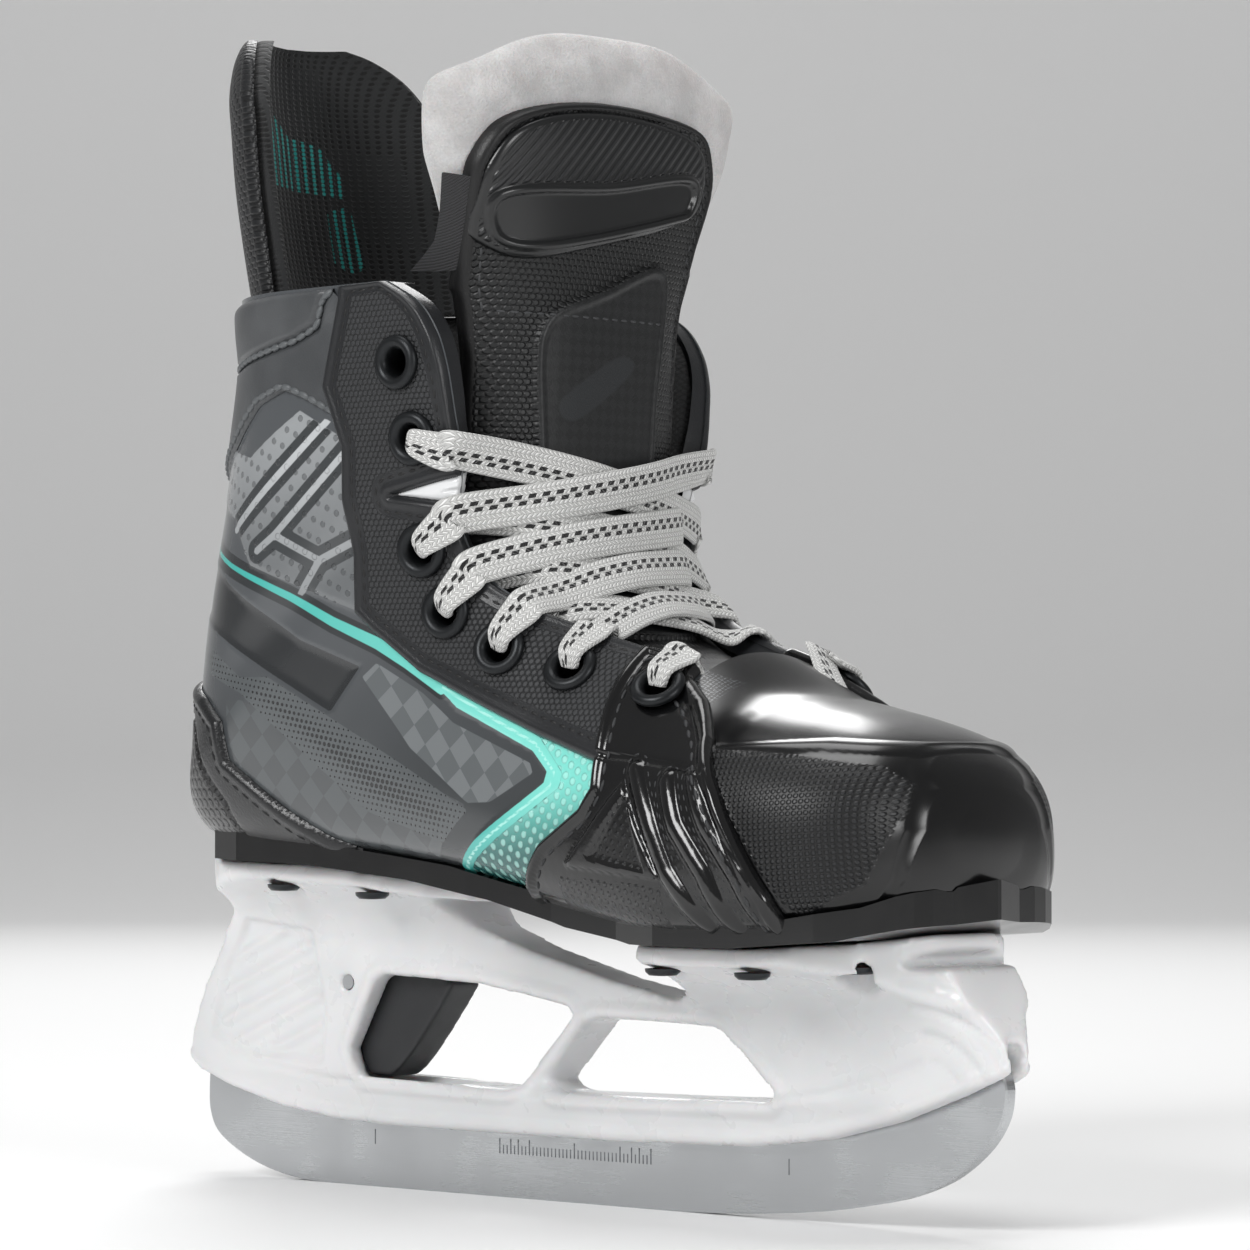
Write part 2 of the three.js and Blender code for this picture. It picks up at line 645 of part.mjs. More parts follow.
/** Everything below the bend, cut to a wedge so that the upper tongue can tip back. */
function belowHinge() {
  const outline = [
    [hingeX + 30, hingeZ - TONGUE_GAP / 2],
    [hingeX, hingeZ - TONGUE_GAP / 2],
    [hingeX - tongueDepthReach, hingeZ - TONGUE_GAP / 2 - tongueDepthReach * tongueRoomSlope],
    [hingeX - tongueDepthReach, 0],
    [hingeX + 90, 0],
    [hingeX + 90, hingeZ - TONGUE_GAP / 2],
  ];
  return rawSidePrism(outline, -WIDE, WIDE);
}

function aboveHinge() {
  const outline = [
    [hingeX + 90, hingeZ + TONGUE_GAP / 2],
    [hingeX - 90, hingeZ + TONGUE_GAP / 2],
    [hingeX - 90, SKATE_HEIGHT + 20],
    [hingeX + 90, SKATE_HEIGHT + 20],
  ];
  return rawSidePrism(outline, -WIDE, WIDE);
}

/** As sidePrism, with the outline already in real millimetres. */
function rawSidePrism(outline, low, high) {
  const shape = new THREE.Shape(outline.map(([x, z]) => new THREE.Vector2(x, z)));
  const geometry = new THREE.ExtrudeGeometry(shape, { depth: high - low, bevelEnabled: false });
  geometry.rotateX(Math.PI / 2);
  geometry.translate(0, high, 0);
  return solid(geometry);
}
const lowerTongue = belowHinge();
const upperTongue = aboveHinge();
const coverTop = 12.7;
const coverSpread = (v) => {
  if (v > 11.4) return mix(0.88, 0.78, (v - 11.4) / (coverTop - 11.4));
  return mix(0.94, 0.88, v / 11.4);
};
const feltLayer = tongueLayer(0.1, TONGUE_TOP, 20, () => -1, () => 1, 12, FELT_OUTSIDE, FELT_INSIDE);
const coverLayer = tongueLayer(
  0.1,
  coverTop,
  18,
  (v) => -coverSpread(v),
  coverSpread,
  8,
  0,
  -TONGUE_COVER_THICKNESS,
);
const BADGE_THICKNESS = 1.2;
const badge = tongueLayer(
  9.8,
  12.3,
  6,
  () => -0.72,
  () => 0.72,
  10,
  CLEARANCE + BADGE_THICKNESS,
  CLEARANCE,
);
const LABEL_THICKNESS = 0.8;
const label = tongueLayer(
  9.9,
  11.7,
  4,
  () => -0.98,
  () => -0.9,
  3,
  FELT_OUTSIDE + CLEARANCE + LABEL_THICKNESS,
  FELT_OUTSIDE + CLEARANCE,
);

// ---- outsole ------------------------------------------------------------------------------------
const SOLE_LINE = [
  [-112, 67.4], [-73, 66.2], [-47, 65.6], [-20, 63.1], [2, 59.7], [22, 54.9], [42, 52.3], [68, 52.3],
  [90, 54], [104, 57.6],
];
const OUTSOLE_TOP = [
  [-112, 74], [-73, 72.4], [-43, 69.8], [-8, 66], [16, 61], [36, 57.6], [58, 56.6], [77, 57.2],
  [93.5, 60], [104, 65],
];
const soleAt = (x) => readTable(SOLE_LINE, x);

/** The outline of a strip between two side-view lines. */
function strip(upper, lower) {
  return sidePrism([...upper, ...[...lower].reverse()], -WIDE, WIDE);
}
const mirrored = (outline) => [...outline, ...outline.map(([x, y]) => [x, -y]).reverse()];
const scaledPlan = (outline) => outline.map(([x, y]) => [alongX(x), alongY(y)]);
const scaledLine = (line) => line.map(([x, z]) => [alongX(x), alongZ(z)]);
const outsoleTopLine = scaledLine(OUTSOLE_TOP);

/** The boot's half width at the top of the outsole, as [x, y] points from the toe to the heel. */
function outsolePlan() {
  const outline = [[alongX(101.6) + OUTSOLE_LIP, 0.5]];
  for (const u of [0.6, 1, 1.5, 2, 3, 4, 5, 6, 7, 8, 9, 10, 11, 12, 13, 14, 14.5, 15]) {
    const { points, base, direction } = section(u);
    const height = (readTable(outsoleTopLine, base[0]) - base[1]) / direction[1];
    const i = points.findIndex(([, h]) => h >= height);
    const [[y0, h0], [y1, h1]] = [points[i - 1], points[i]];
    const y = mix(y0, y1, (height - h0) / (h1 - h0));
    outline.push([base[0] + direction[0] * height, y + OUTSOLE_LIP]);
  }
  outline.push([alongX(-90.5) - OUTSOLE_LIP * 0.5, alongY(9)], [alongX(-92) - OUTSOLE_LIP * 0.5, 0.5]);
  return outline;
}
const outsoleOutline = outsolePlan();
const outsoleColumn = planPrism(mirrored(outsoleOutline), 0, SKATE_HEIGHT);
const outsoleBlank = strip(OUTSOLE_TOP, SOLE_LINE).intersect(outsoleColumn);
const outsole = largest(subtract(outsoleBlank, shellForm(CLEARANCE), toeForm(CLEARANCE)));

// What is stitched on the boot's sides stops just above the outsole.
const raised = (line, lift) => line.map(([x, z]) => [x, z + lift]);
const soleZone = sidePrism([...raised(OUTSOLE_TOP, CLEARANCE), [112, 40], [-112, 40]], -WIDE, WIDE);

// ---- runner and holder --------------------------------------------------------------------------
const RAIL_LINE = [
  [-104, 23.4], [-100.4, 21.6], [-92, 18.4], [-78, 15], [-62, 13], [-45, 12.6], [20, 12.7], [50, 13.6],
  [68, 16], [84, 20], [98, 25.2], [108, 29.4],
];
const RUNNER_BOTTOM = [
  [-103.9, 10.5], [-97.7, 6.6], [-89, 2.8], [-80, 0.8], [-70, 0], [28, 0], [46, 0.8], [62.5, 2.2], [74, 4],
  [84, 5.8], [93.5, 10], [101, 15.2], [106, 21.5],
];
const SLOT_DEPTH = 6.6;           // how far the runner stands in the rail
const TANG = { back: -76, front: -61.3, top: 57 };
const NOTCH = { depth: 2.6, low: 48.6, high: 54 };
const HOOK = { back: 76, front: 90, top: 37 };

function runnerOutline() {
  const seat = RAIL_LINE.slice(1, -1).map(([x, z]) => [x, z + SLOT_DEPTH]);
  const before = seat.filter(([x]) => x <= TANG.back);
  const between = seat.filter(([x]) => x >= TANG.front && x <= HOOK.back);
  const after = seat.filter(([x]) => x >= HOOK.front && x <= 98);
  const onSeat = (x) => readTable(RAIL_LINE, x) + SLOT_DEPTH;
  const tang = [
    [TANG.back, onSeat(TANG.back)],
    [TANG.back + 2, TANG.top],
    [TANG.front, TANG.top],
    [TANG.front, NOTCH.high],
    [TANG.front - NOTCH.depth, NOTCH.high - 0.6],
    [TANG.front - NOTCH.depth, NOTCH.low],
    [TANG.front, NOTCH.low - 1.2],
    [TANG.front, onSeat(TANG.front)],
  ];
  const hook = [
    [HOOK.back, onSeat(HOOK.back)],
    [HOOK.back + 3, HOOK.top],
    [HOOK.front - 2, HOOK.top],
    [HOOK.front, HOOK.top - 4],
    [HOOK.front - 1, onSeat(HOOK.front)],
  ];
  const heel = [[-103.9, 22.4], [-101, 26]];
  const nose = [[104, 29.5], [106.1, 28]];
  const top = [...heel, ...before, ...tang, ...between, ...hook, ...after, ...nose];
  return [...RUNNER_BOTTOM.slice().reverse(), ...top];
}
const RUNNER_OUTLINE = runnerOutline();
const runner = sidePrism(RUNNER_OUTLINE, -RUNNER_THICKNESS / 2, RUNNER_THICKNESS / 2);

// Side view of the holder without its flanges, and its windows.
const HOLDER_OUTLINE = [
  ...RAIL_LINE,
  [108.2, 31.4], [107.6, 34.5], [105.6, 38.6], [103.6, 42], [101.4, 45.6], [99.5, 49], [98, 54],
  [34, 54], [36, 50.2], [39.6, 46.4], [38.4, 43], [31.2, 40.8], [12.7, 44], [-8.4, 49.2], [-21.4, 53.4],
  [-29, 58], [-31, 66.4], [-89, 66.4], [-87, 60.5], [-86, 56.4], [-91.5, 50.6], [-94, 45.8],
  [-98.5, 38.9], [-102.5, 32], [-105.5, 26.5], [-106, 24.4],
];
const MIDDLE_WINDOW = [
  [-55.5, 28], [-53.5, 22.8], [-14.5, 21.8], [-11.5, 23], [2.5, 36.5], [1, 38.3], [-22, 42], [-45, 43.3],
  [-47.5, 42],
];
const FRONT_WINDOW = [
  [-4, 24], [-1, 21.6], [54, 22.4], [56, 24.4], [44.5, 35.2], [42, 36], [9, 36.3], [6, 35.2],
];

// Half widths of the holder by height, behind and in front.
const REAR_WIDTHS = [
  [12, RAIL_HALF_WIDTH - 0.6], [16, RAIL_HALF_WIDTH], [21.6, 6.6], [22.4, 7.4],
  [32, TOWER_HALF_WIDTH - 0.4], [50, TOWER_HALF_WIDTH + 0.6], [55, 11], [58.6, 14.5], [62, 21], [67, 23],
];
const FRONT_WIDTHS = [
  [12, RAIL_HALF_WIDTH - 0.6], [16, RAIL_HALF_WIDTH], [21.6, 6.6], [22.4, 7.4],
  [30, TOWER_HALF_WIDTH - 0.6], [36, TOWER_HALF_WIDTH + 0.4], [40, 10.5], [43, 14], [46.5, 21], [49, 29],
  [53, 31],
];
const HOLDER_STATIONS = [
  // x, share of the width kept above the rail, share of the front's widths, share of the rail's width kept
  [-107.6, 0.3, 0, 0.4], [-106, 0.62, 0, 0.72], [-103, 0.86, 0, 0.96], [-98, 1, 0, 1], [-90, 1, 0, 1],
  [-60, 1, 0, 1], [-40, 1, 0, 1], [-30, 0.85, 0, 1], [-20, 0.62, 0, 1], [-8, 0.55, 0.3, 1],
  [22, 0.55, 0.7, 1], [32, 0.75, 0.9, 1], [40, 1, 1, 1], [80, 1, 1, 1], [92, 0.96, 1, 1],
  [99, 0.86, 1, 0.96], [103, 0.74, 1, 0.84],
  [106, 0.56, 1, 0.66], [108.6, 0.3, 1, 0.4],
];

const RAIL_HEIGHTS = 3;           // the first rows of widths belong to the rail

function holderEnvelope() {
  const heights = REAR_WIDTHS.length;
  const rows = HOLDER_STATIONS.map(([x, keep, front, keepRail]) => {
    const right = [];
    for (let i = 0; i < heights; i += 1) {
      const [zr, wr] = REAR_WIDTHS[i];
      const [zf, wf] = FRONT_WIDTHS[i] ?? FRONT_WIDTHS[FRONT_WIDTHS.length - 1];
      const z = mix(zr, zf, front);
      const w = mix(wr, wf, front) * (i < RAIL_HEIGHTS ? keepRail : keep);
      right.push(new THREE.Vector3(alongX(x), -w, alongZ(z)));
    }
    return [...right, ...right.map((p) => new THREE.Vector3(p.x, -p.y, p.z)).reverse()];
  });
  return loftSolid(rows);
}

const FLANGES = [
  {
    from: -90,
    to: -14,
    plan: [[-90, 10], [-88, 15], [-82, 19.5], [-72, 22.6], [-32, 23], [-22, 21], [-16, 15], [-14, 9]],
  },
  {
    from: 32,
    to: 96,
    plan: [[32, 9], [33.5, 18], [38, 26], [46, 30], [76, 30], [79, 27], [87, 22], [93, 15], [96, 8]],
  },
];
const flangeTop = (x) => readTable(SOLE_LINE, x);

function flangeSolid({ from, to, plan }) {
  const steps = 12;
  const places = range(steps + 1).map((i) => mix(from - 1, to + 1, i / steps));
  const gap = (CLEARANCE * DRAWN_HEIGHT) / SKATE_HEIGHT;
  const thick = (FLANGE_THICKNESS * DRAWN_HEIGHT) / SKATE_HEIGHT;
  const upper = places.map((x) => [x, flangeTop(x) - gap]);
  const lower = places.map((x) => [x, flangeTop(x) - gap - thick]);
  return strip(upper, lower).intersect(planPrism(scaledPlan(mirrored(plan)), 0, SKATE_HEIGHT));
}

/** Room under the sole, so that the towers stop at the flanges' top. */
const underSole = sidePrism([...raised(SOLE_LINE, -CLEARANCE), [120, 0], [-114, 0]], -WIDE, WIDE);

// ---- the trigger in the rear tower --------------------------------------------------------------
const PIVOT = [-56, 41.5];
const TRIGGER_OUTLINE = [
  [-59.5, 53.2], [-62.9, 51.2], [-61.6, 49.6], [-60, 47], [-60.2, 42], [-58.6, 38], [-57.4, 31],
  [-56, 25.6], [-53.5, 22.8], [-48, 22.6], [-45.5, 24.2], [-42.5, 27], [-38.5, 31.5], [-34, 37],
  [-30.5, 41.6], [-33, 43.4],
  [-47, 44.2], [-52, 46.6], [-55.5, 51.6],
];
const TRIGGER_ROOM = [
  [-64.6, 55], [-51.5, 55], [-49.6, 47.6], [-46, 45.4], [-28, 45.4], [-28, 19.6], [-58.5, 19.6], [-62, 23],
  [-64.6, 32],
];
const TANG_ROOM = [
  [TANG.back - 0.6, 10], [TANG.back - 0.6, TANG.top + 0.7], [TANG.front + 0.7, TANG.top + 0.7],
  [TANG.front + 0.7, 10],
];
const HOOK_ROOM = [
  [HOOK.back - 0.5, 12], [HOOK.back - 0.5, HOOK.top + 0.6], [HOOK.front + 0.6, HOOK.top + 0.6],
  [HOOK.front + 0.6, 12],
];
const pinAt = (y) => new THREE.Vector3(alongX(PIVOT[0]), y, alongZ(PIVOT[1]));
const pinHalf = TOWER_HALF_WIDTH - 0.5;
const pin = rod(pinAt(-pinHalf), pinAt(pinHalf), PIN_RADIUS);
const pinBore = rod(pinAt(-WIDE), pinAt(WIDE), PIN_RADIUS + BORE_CLEARANCE);
const trigger = sidePrism(TRIGGER_OUTLINE, -TRIGGER_WIDTH / 2, TRIGGER_WIDTH / 2).subtract(pinBore);

const slotHalf = RUNNER_THICKNESS / 2 + RUNNER_SLOT_CLEARANCE;
const slotLine = raised(RAIL_LINE, SLOT_DEPTH + 0.3);
const slot = sidePrism([[-112, 30], ...slotLine, [112, 36], [112, 0], [-112, 0]], -slotHalf, slotHalf);

const RIVET_PLACES = [
  ['rear_1', -63.6, 18.6],
  ['rear_2', -38.6, 18.6],
  ['front_1', 42.7, 23.6],
  ['front_2', 66.6, 26],
  ['front_3', 85, 18],
];
const RIVET_GRIP = 0.8;           // how deep the shank goes in the outsole
function rivetPlace([, x, y], side) {
  const top = alongZ(flangeTop(x)) - CLEARANCE;
  return { x: alongX(x), y: side * alongY(y), under: top - FLANGE_THICKNESS - 0.8, top };
}

function rivetSolid({ x, y, under, top }) {
  const reach = top + CLEARANCE + RIVET_GRIP - under;
  const head = RIVET_HEAD_HEIGHT;
  const profile = [
    [0, -head], [RIVET_HEAD_RADIUS - 0.9, -head], [RIVET_HEAD_RADIUS, -head * 0.3], [RIVET_HEAD_RADIUS, 0],
    [RIVET_SHANK_RADIUS, 0], [RIVET_SHANK_RADIUS, reach], [0, reach],
  ].map(([r, h]) => new THREE.Vector2(r, h));
  const geometry = new THREE.LatheGeometry(profile, 8);
  geometry.rotateX(Math.PI / 2);
  geometry.translate(x, y, under);
  return solid(geometry);
}

const rivets = sides.flatMap(([word, side]) => RIVET_PLACES.map((row) => ({
  name: `rivet_${word}_${row[0]}`,
  place: rivetPlace(row, side),
})));
const upward = (x, y, z) => new THREE.Vector3(x, y, z);
const rivetBores = rivets.map(({ place: { x, y, under, top } }) => rod(
  upward(x, y, under - 12),
  upward(x, y, top + CLEARANCE + RIVET_GRIP + 0.3),
  RIVET_SHANK_RADIUS + BORE_CLEARANCE,
  12,
));
const rivetPockets = rivets.map(({ place: { x, y, under } }) => rod(
  upward(x, y, under - 12),
  upward(x, y, under + 0.2),
  RIVET_HEAD_RADIUS + 0.5,
  12,
));

// The plan that the towers' flared tops stay inside.
const TOWER_PLAN = [
  [-112, 10], [-92, 10.5], [-88, 15], [-82, 19.5], [-72, 22.6], [-32, 23], [34, 24], [46, 30], [76, 30],
  [79, 27], [87, 22], [93, 15], [97, 10.5], [112, 10],
];
const holderBody = holderEnvelope()
  .intersect(planPrism(scaledPlan(mirrored(TOWER_PLAN)), 0, SKATE_HEIGHT))
  .intersect(sidePrism(HOLDER_OUTLINE, -WIDE, WIDE))
  .intersect(underSole);
const triggerHalf = TRIGGER_WIDTH / 2 + TRIGGER_CLEARANCE;
const tangHalf = slotHalf + 0.1;
const holder = largest(subtract(
  unite(holderBody, ...FLANGES.map(flangeSolid)),
  sidePrism(MIDDLE_WINDOW, -WIDE, WIDE),
  sidePrism(FRONT_WINDOW, -WIDE, WIDE),
  sidePrism(TRIGGER_ROOM, -triggerHalf, triggerHalf),
  sidePrism(TANG_ROOM, -tangHalf, tangHalf),
  sidePrism(HOOK_ROOM, -tangHalf, tangHalf),
  slot,
  pinBore,
  ...rivetBores,
  ...rivetPockets,
));

// ---- footbed ------------------------------------------------------------------------------------
const FOOTBED_THICKNESS = 3;
const FOOTBED_WIDTHS = [[3.4, 17], [5, 24], [7, 27], [9, 25], [11, 22], [14.9, 19]];
const footbedTop = linerTop - LINER_THICKNESS - LINER_CLEARANCE * 1.6;
const footbedHalf = (u) => alongY(readTable(FOOTBED_WIDTHS, u));
const footbed = bootLayer(
  3.4,
  14.9,
  12,
  (u) => -footbedHalf(u),
  footbedHalf,
  8,
  footbedTop - FOOTBED_THICKNESS,
  footbedTop,
);

// ---- laces --------------------------------------------------------------------------------------
/** A flat band along points, each with its own outward direction and width. */
function band(stops) {
  const rows = stops.map(({ at, out, width }, i) => {
    const before = stops[Math.max(i - 1, 0)].at;
    const after = stops[Math.min(i + 1, stops.length - 1)].at;
    const along = after.clone().sub(before).normalize();
    const across = along.clone().cross(out).normalize().multiplyScalar(width / 2);
    const up = across.clone().cross(along).normalize().multiplyScalar(LACE_THICKNESS / 2);
    return [[1, 1], [-1, 1], [-1, -1], [1, -1]].map(
      ([a, b]) => at.clone().addScaledVector(across, a).addScaledVector(up, b),
    );
  });
  return loftSolid(rows);
}

const LACE_LIFT = CLEARANCE + LACE_THICKNESS / 2 + 0.2;
const TONGUE_LIFT = CLEARANCE + LACE_THICKNESS / 2 + 0.3;
const CROSSING_RISE = LACE_THICKNESS + CLEARANCE;
const FLANGE_LIFT = CLEARANCE + EYELET_HEIGHT + LACE_THICKNESS + 0.2;
const eyeletOf = (index, side) => eyelets.find((e) => e.side === side && e.index === index).place;

/** The tongue's station that lies nearest to a point in side view. */
function tongueStationNear(point) {
  const gaps = range(90).map((i) => {
    const skin = tongueSkin(i / 10, 0);
    return Math.hypot(skin.x - point.x, skin.z - point.z);
  });
  return gaps.indexOf(Math.min(...gaps)) / 10;
}

/** A place on the lacing edge of one side, lifted clear of the facing. */
function overEdge(index, side) {
  const u = eyeletStations[index];
  const { outside } = eyeletOf(index, side);
  const s = side * (edgeOf(u) - 1.5);
  const at = boot(u, s, outside + LACE_LIFT + 0.5);
  return { at, out: at.clone().sub(boot(u, s, outside - 1)).normalize(), width: LACE_WIDTH };
}

/** Out of one eyelet, over its lacing edge, across the tongue, over the other edge and into its eyelet. */
function crossing(fromIndex, fromSide, toIndex, rise) {
  const from = eyeletOf(fromIndex, fromSide);
  const to = eyeletOf(toIndex, -fromSide);
  const first = { at: from.point.clone().addScaledVector(from.normal, FLANGE_LIFT), out: from.normal };
  const last = { at: to.point.clone().addScaledVector(to.normal, FLANGE_LIFT), out: to.normal };
  const fromEdge = overEdge(fromIndex, fromSide);
  const toEdge = overEdge(toIndex, -fromSide);
  const [fromV, toV] = [tongueStationNear(fromEdge.at), tongueStationNear(toEdge.at)];
  const across = [-0.7, -0.35, 0, 0.35, 0.7].map((share) => {
    const v = mix(fromV, toV, (share + 1) / 2);
    const c = -share * fromSide;
    const lift = TONGUE_LIFT + rise * (1 - Math.abs(share));
    const at = tonguePoint(v, c, lift);
    return { at, out: at.clone().sub(tonguePoint(v, c, lift - 1)).normalize(), width: LACE_WIDTH };
  });
  return band([
    { ...first, width: LACE_NECK_WIDTH },
    fromEdge,
    ...across,
    toEdge,
    { ...last, width: LACE_NECK_WIDTH },
  ]);
}

/** The stretch inside an eyelet, from the outside to under the boot's wall. */
function throughEyelet({ point, normal, outside }) {
  const out = new THREE.Vector3(0, 0, 1).cross(normal).cross(normal).normalize();
  return band([FLANGE_LIFT + LACE_THICKNESS / 2, -(outside + SHELL_THICKNESS + 1.2)].map((h) => ({
    at: point.clone().addScaledVector(normal, h),
    out,
    width: LACE_NECK_WIDTH,
  })));
}

const LAST_EYELET = EYELET_COUNT - 1;
const crossings = range(4).map((i) => LAST_EYELET - 1 - i).flatMap((index) => [
  crossing(index, -1, index - 1, CROSSING_RISE),
  crossing(index, 1, index - 1, 0),
]);
const tongueRoom = tongueLayer(0, 9, 18, () => -1, () => 1, 8, CLEARANCE, -TONGUE_COVER_THICKNESS);
const facingRooms = sides.map(([, side]) => bootLayer(
  7,
  19,
  12,
  (u) => side * (edgeOf(u) - FACING_WIDTH),
  (u) => side * (edgeOf(u) + CLEARANCE),
  3,
  -SHELL_THICKNESS - CLEARANCE,
  OVERLAY_OUTSIDE + CLEARANCE,
));
const flangeRooms = eyelets.map(({ place: { point, normal } }) => rod(
  point.clone().addScaledVector(normal, -EYELET_HEIGHT * 2),
  point.clone().addScaledVector(normal, CLEARANCE * 2 + EYELET_HEIGHT),
  EYELET_FLANGE_RADIUS + CLEARANCE,
  12,
));
const laces = largest(unite(
  subtract(
    unite(crossing(LAST_EYELET, -1, LAST_EYELET, 0), ...crossings),
    tongueRoom,
    ...facingRooms,
    ...flangeRooms,
  ),
  ...eyelets.filter((e) => e.index > 0).map((e) => throughEyelet(e.place)),
));

// ---- the scene ----------------------------------------------------------------------------------
const allEyeletBores = unite(...eyelets.map((e) => e.bore));
shell = largest(subtract(shell, allEyeletBores, notchCut));
add('shell', shell, QUARTER_GREY);
add('toe_cap', toeCap, BLACK_GLOSS);
add('liner', liner, LINING);
add('footbed', footbed, FOOTBED_FOAM);
add('outsole', largest(subtract(outsole, ...rivetBores)), BLACK_GLOSS);
add('heel_counter', largest(subtract(counterLayer.intersect(counterBand), soleZone)), BLACK_SATIN);
add('collar_panel', collarPanel, COLLAR_GREY);
for (const [word, side] of sides) {
  const bores = boresOn(side);
  add(`facing_${word}`, largest(subtract(facingSolid(side), notchCut, ...bores)), FACING_GREY);
  add(`strap_${word}`, largest(subtract(strapSolid(side), soleZone, ...bores)), BLACK_GLOSS);
  add(`notch_insert_${word}`, notchSolid(side), WHITE_PLASTIC);
}
for (const { name, place } of eyelets) add(name, eyeletSolid(place), BLACK_SATIN);
add('holder', holder, WHITE_PLASTIC);
add('runner', runner, STEEL);
for (const { name, place } of rivets) add(name, rivetSolid(place), BLACK_SATIN);
add('trigger_pin', pin, STEEL);
add('trigger', trigger, DARK_PLASTIC);
add('tongue_lower_cover', largest(coverLayer.intersect(lowerTongue)), BLACK_SATIN);
add('tongue_lower_felt', largest(feltLayer.intersect(lowerTongue)), FELT);
add('tongue_cover', largest(coverLayer.intersect(upperTongue)), BLACK_SATIN);
add('tongue_felt', largest(feltLayer.intersect(upperTongue)), FELT);
add('tongue_badge', badge, BLACK_SATIN);
add('tongue_label', label, LABEL_GREY);
add('tendon_guard', guardPlate(0, GUARD_THICKNESS), BLACK_SATIN);
const padStart = GUARD_THICKNESS + CLEARANCE;
add('tendon_guard_pad', guardPlate(padStart, padStart + GUARD_PAD_THICKNESS), LINING);
add('laces', laces, LACE_COTTON);

export default group;
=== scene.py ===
"""Looks of a youth ice hockey skate, built round its packed CAD part.

Tables are in millimetres in the part's frame: +X is the toe, +Y the wearer's left, +Z up, and the ice is z = 0."""

import math

import bmesh
import bpy
import numpy as np
from bpy.props import FloatProperty, FloatVectorProperty, PointerProperty
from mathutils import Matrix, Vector


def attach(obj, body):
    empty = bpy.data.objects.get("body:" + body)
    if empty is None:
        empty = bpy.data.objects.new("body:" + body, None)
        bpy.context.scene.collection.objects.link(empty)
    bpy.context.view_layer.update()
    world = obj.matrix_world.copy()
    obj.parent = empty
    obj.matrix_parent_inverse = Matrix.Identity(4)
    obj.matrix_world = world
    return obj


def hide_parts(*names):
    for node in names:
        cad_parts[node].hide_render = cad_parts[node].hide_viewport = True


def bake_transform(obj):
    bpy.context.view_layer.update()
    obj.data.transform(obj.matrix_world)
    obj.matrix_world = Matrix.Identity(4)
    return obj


bl_info = {
    "name": "Hockey Skate Looks",
    "version": (1, 0, 0),
    "blender": (4, 5, 0),
    "location": "View3D > Sidebar > Skate",
    "description": "Builds the detailed pieces and materials of an ice hockey skate on its CAD frame",
    "category": "Object",
}

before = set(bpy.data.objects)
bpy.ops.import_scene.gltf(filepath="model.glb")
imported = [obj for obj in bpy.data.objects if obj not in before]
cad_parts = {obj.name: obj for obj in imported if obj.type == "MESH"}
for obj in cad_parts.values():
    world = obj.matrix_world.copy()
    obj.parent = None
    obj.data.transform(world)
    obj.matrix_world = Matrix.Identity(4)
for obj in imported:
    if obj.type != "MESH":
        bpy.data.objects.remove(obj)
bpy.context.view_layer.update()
MM = 0.001
SIDES = (("right", -1), ("left", 1))
CAMERA_TURN, CAMERA_RISE = math.radians(42), math.radians(-1.5)
CAMERA_PLACE = Vector((648.8, -707.3, 87.6))
CAMERA_LENS = 141.26

# ---- the surfaces the pieces lie on: the same tables as the CAD part ------------------------------
# Boot stations: bottom x, z, top x, z, half width, height of the widest place, two squarenesses, crown.
STATIONS = np.array([
    (100.8, 64.5, 101.5, 77.0, 9.5, 6.0, 2.2, 2.2, 0),
    (99.9, 60.6, 100.4, 82.0, 17.0, 10.0, 2.6, 2.2, 0),
    (97.7, 58.0, 97.8, 86.4, 23.5, 13.0, 3.4, 2.3, 0),
    (93.2, 56.6, 93.4, 89.8, 29.4, 15.0, 4.2, 2.4, 0),
    (86.7, 55.6, 86.7, 92.4, 33.8, 16.0, 4.8, 2.5, 0),
    (78.0, 54.8, 77.6, 94.9, 36.8, 17.0, 5.0, 2.5, 0),
    (68.1, 54.3, 67.4, 97.2, 38.2, 18.0, 5.0, 2.5, 0),
    (59.5, 54.2, 57.9, 99.6, 38.5, 18.0, 5.0, 2.2, 0.6),
    (50.8, 54.4, 45.5, 103.8, 38.0, 17.5, 5.0, 1.95, 4.5),
    (37.0, 56.2, 32.0, 107.8, 36.6, 19.0, 4.8, 2.05, 6.0),
    (18.0, 59.4, 20.5, 111.6, 35.0, 21.0, 4.6, 2.25, 7.0),
    (-4.0, 63.0, 11.5, 115.8, 34.0, 26.0, 4.6, 2.8, 8.0),
    (-26.0, 65.6, 3.5, 121.5, 33.6, 34.0, 4.6, 3.5, 10.0),
    (-49.0, 67.2, -0.5, 128.5, 34.2, 42.0, 4.2, 4.2, 12.0),
    (-73.0, 68.6, -0.8, 135.0, 35.0, 51.0, 3.4, 4.8, 14.0),
    (-89.0, 72.4, 0.4, 141.0, 35.6, 54.0, 2.6, 5.2, 16.0),
    (-91.0, 83.0, 1.0, 146.4, 36.0, 52.0, 2.3, 5.6, 18.0),
    (-89.6, 97.0, 1.0, 151.6, 37.0, 48.0, 2.2, 5.8, 20.0),
    (-86.6, 113.0, 0.8, 157.0, 37.6, 44.0, 2.15, 6.0, 22.0),
    (-82.4, 130.0, 0.2, 162.6, 38.2, 41.0, 2.1, 6.0, 24.0),
    (-79.0, 147.0, -1.8, 168.4, 38.5, 39.0, 2.1, 6.0, 26.0),
    (-76.4, 163.0, -6.4, 174.0, 38.5, 37.0, 2.1, 6.0, 28.0),
    (-76.8, 178.0, -15.0, 178.6, 38.5, 36.0, 2.1, 6.0, 30.0),
])
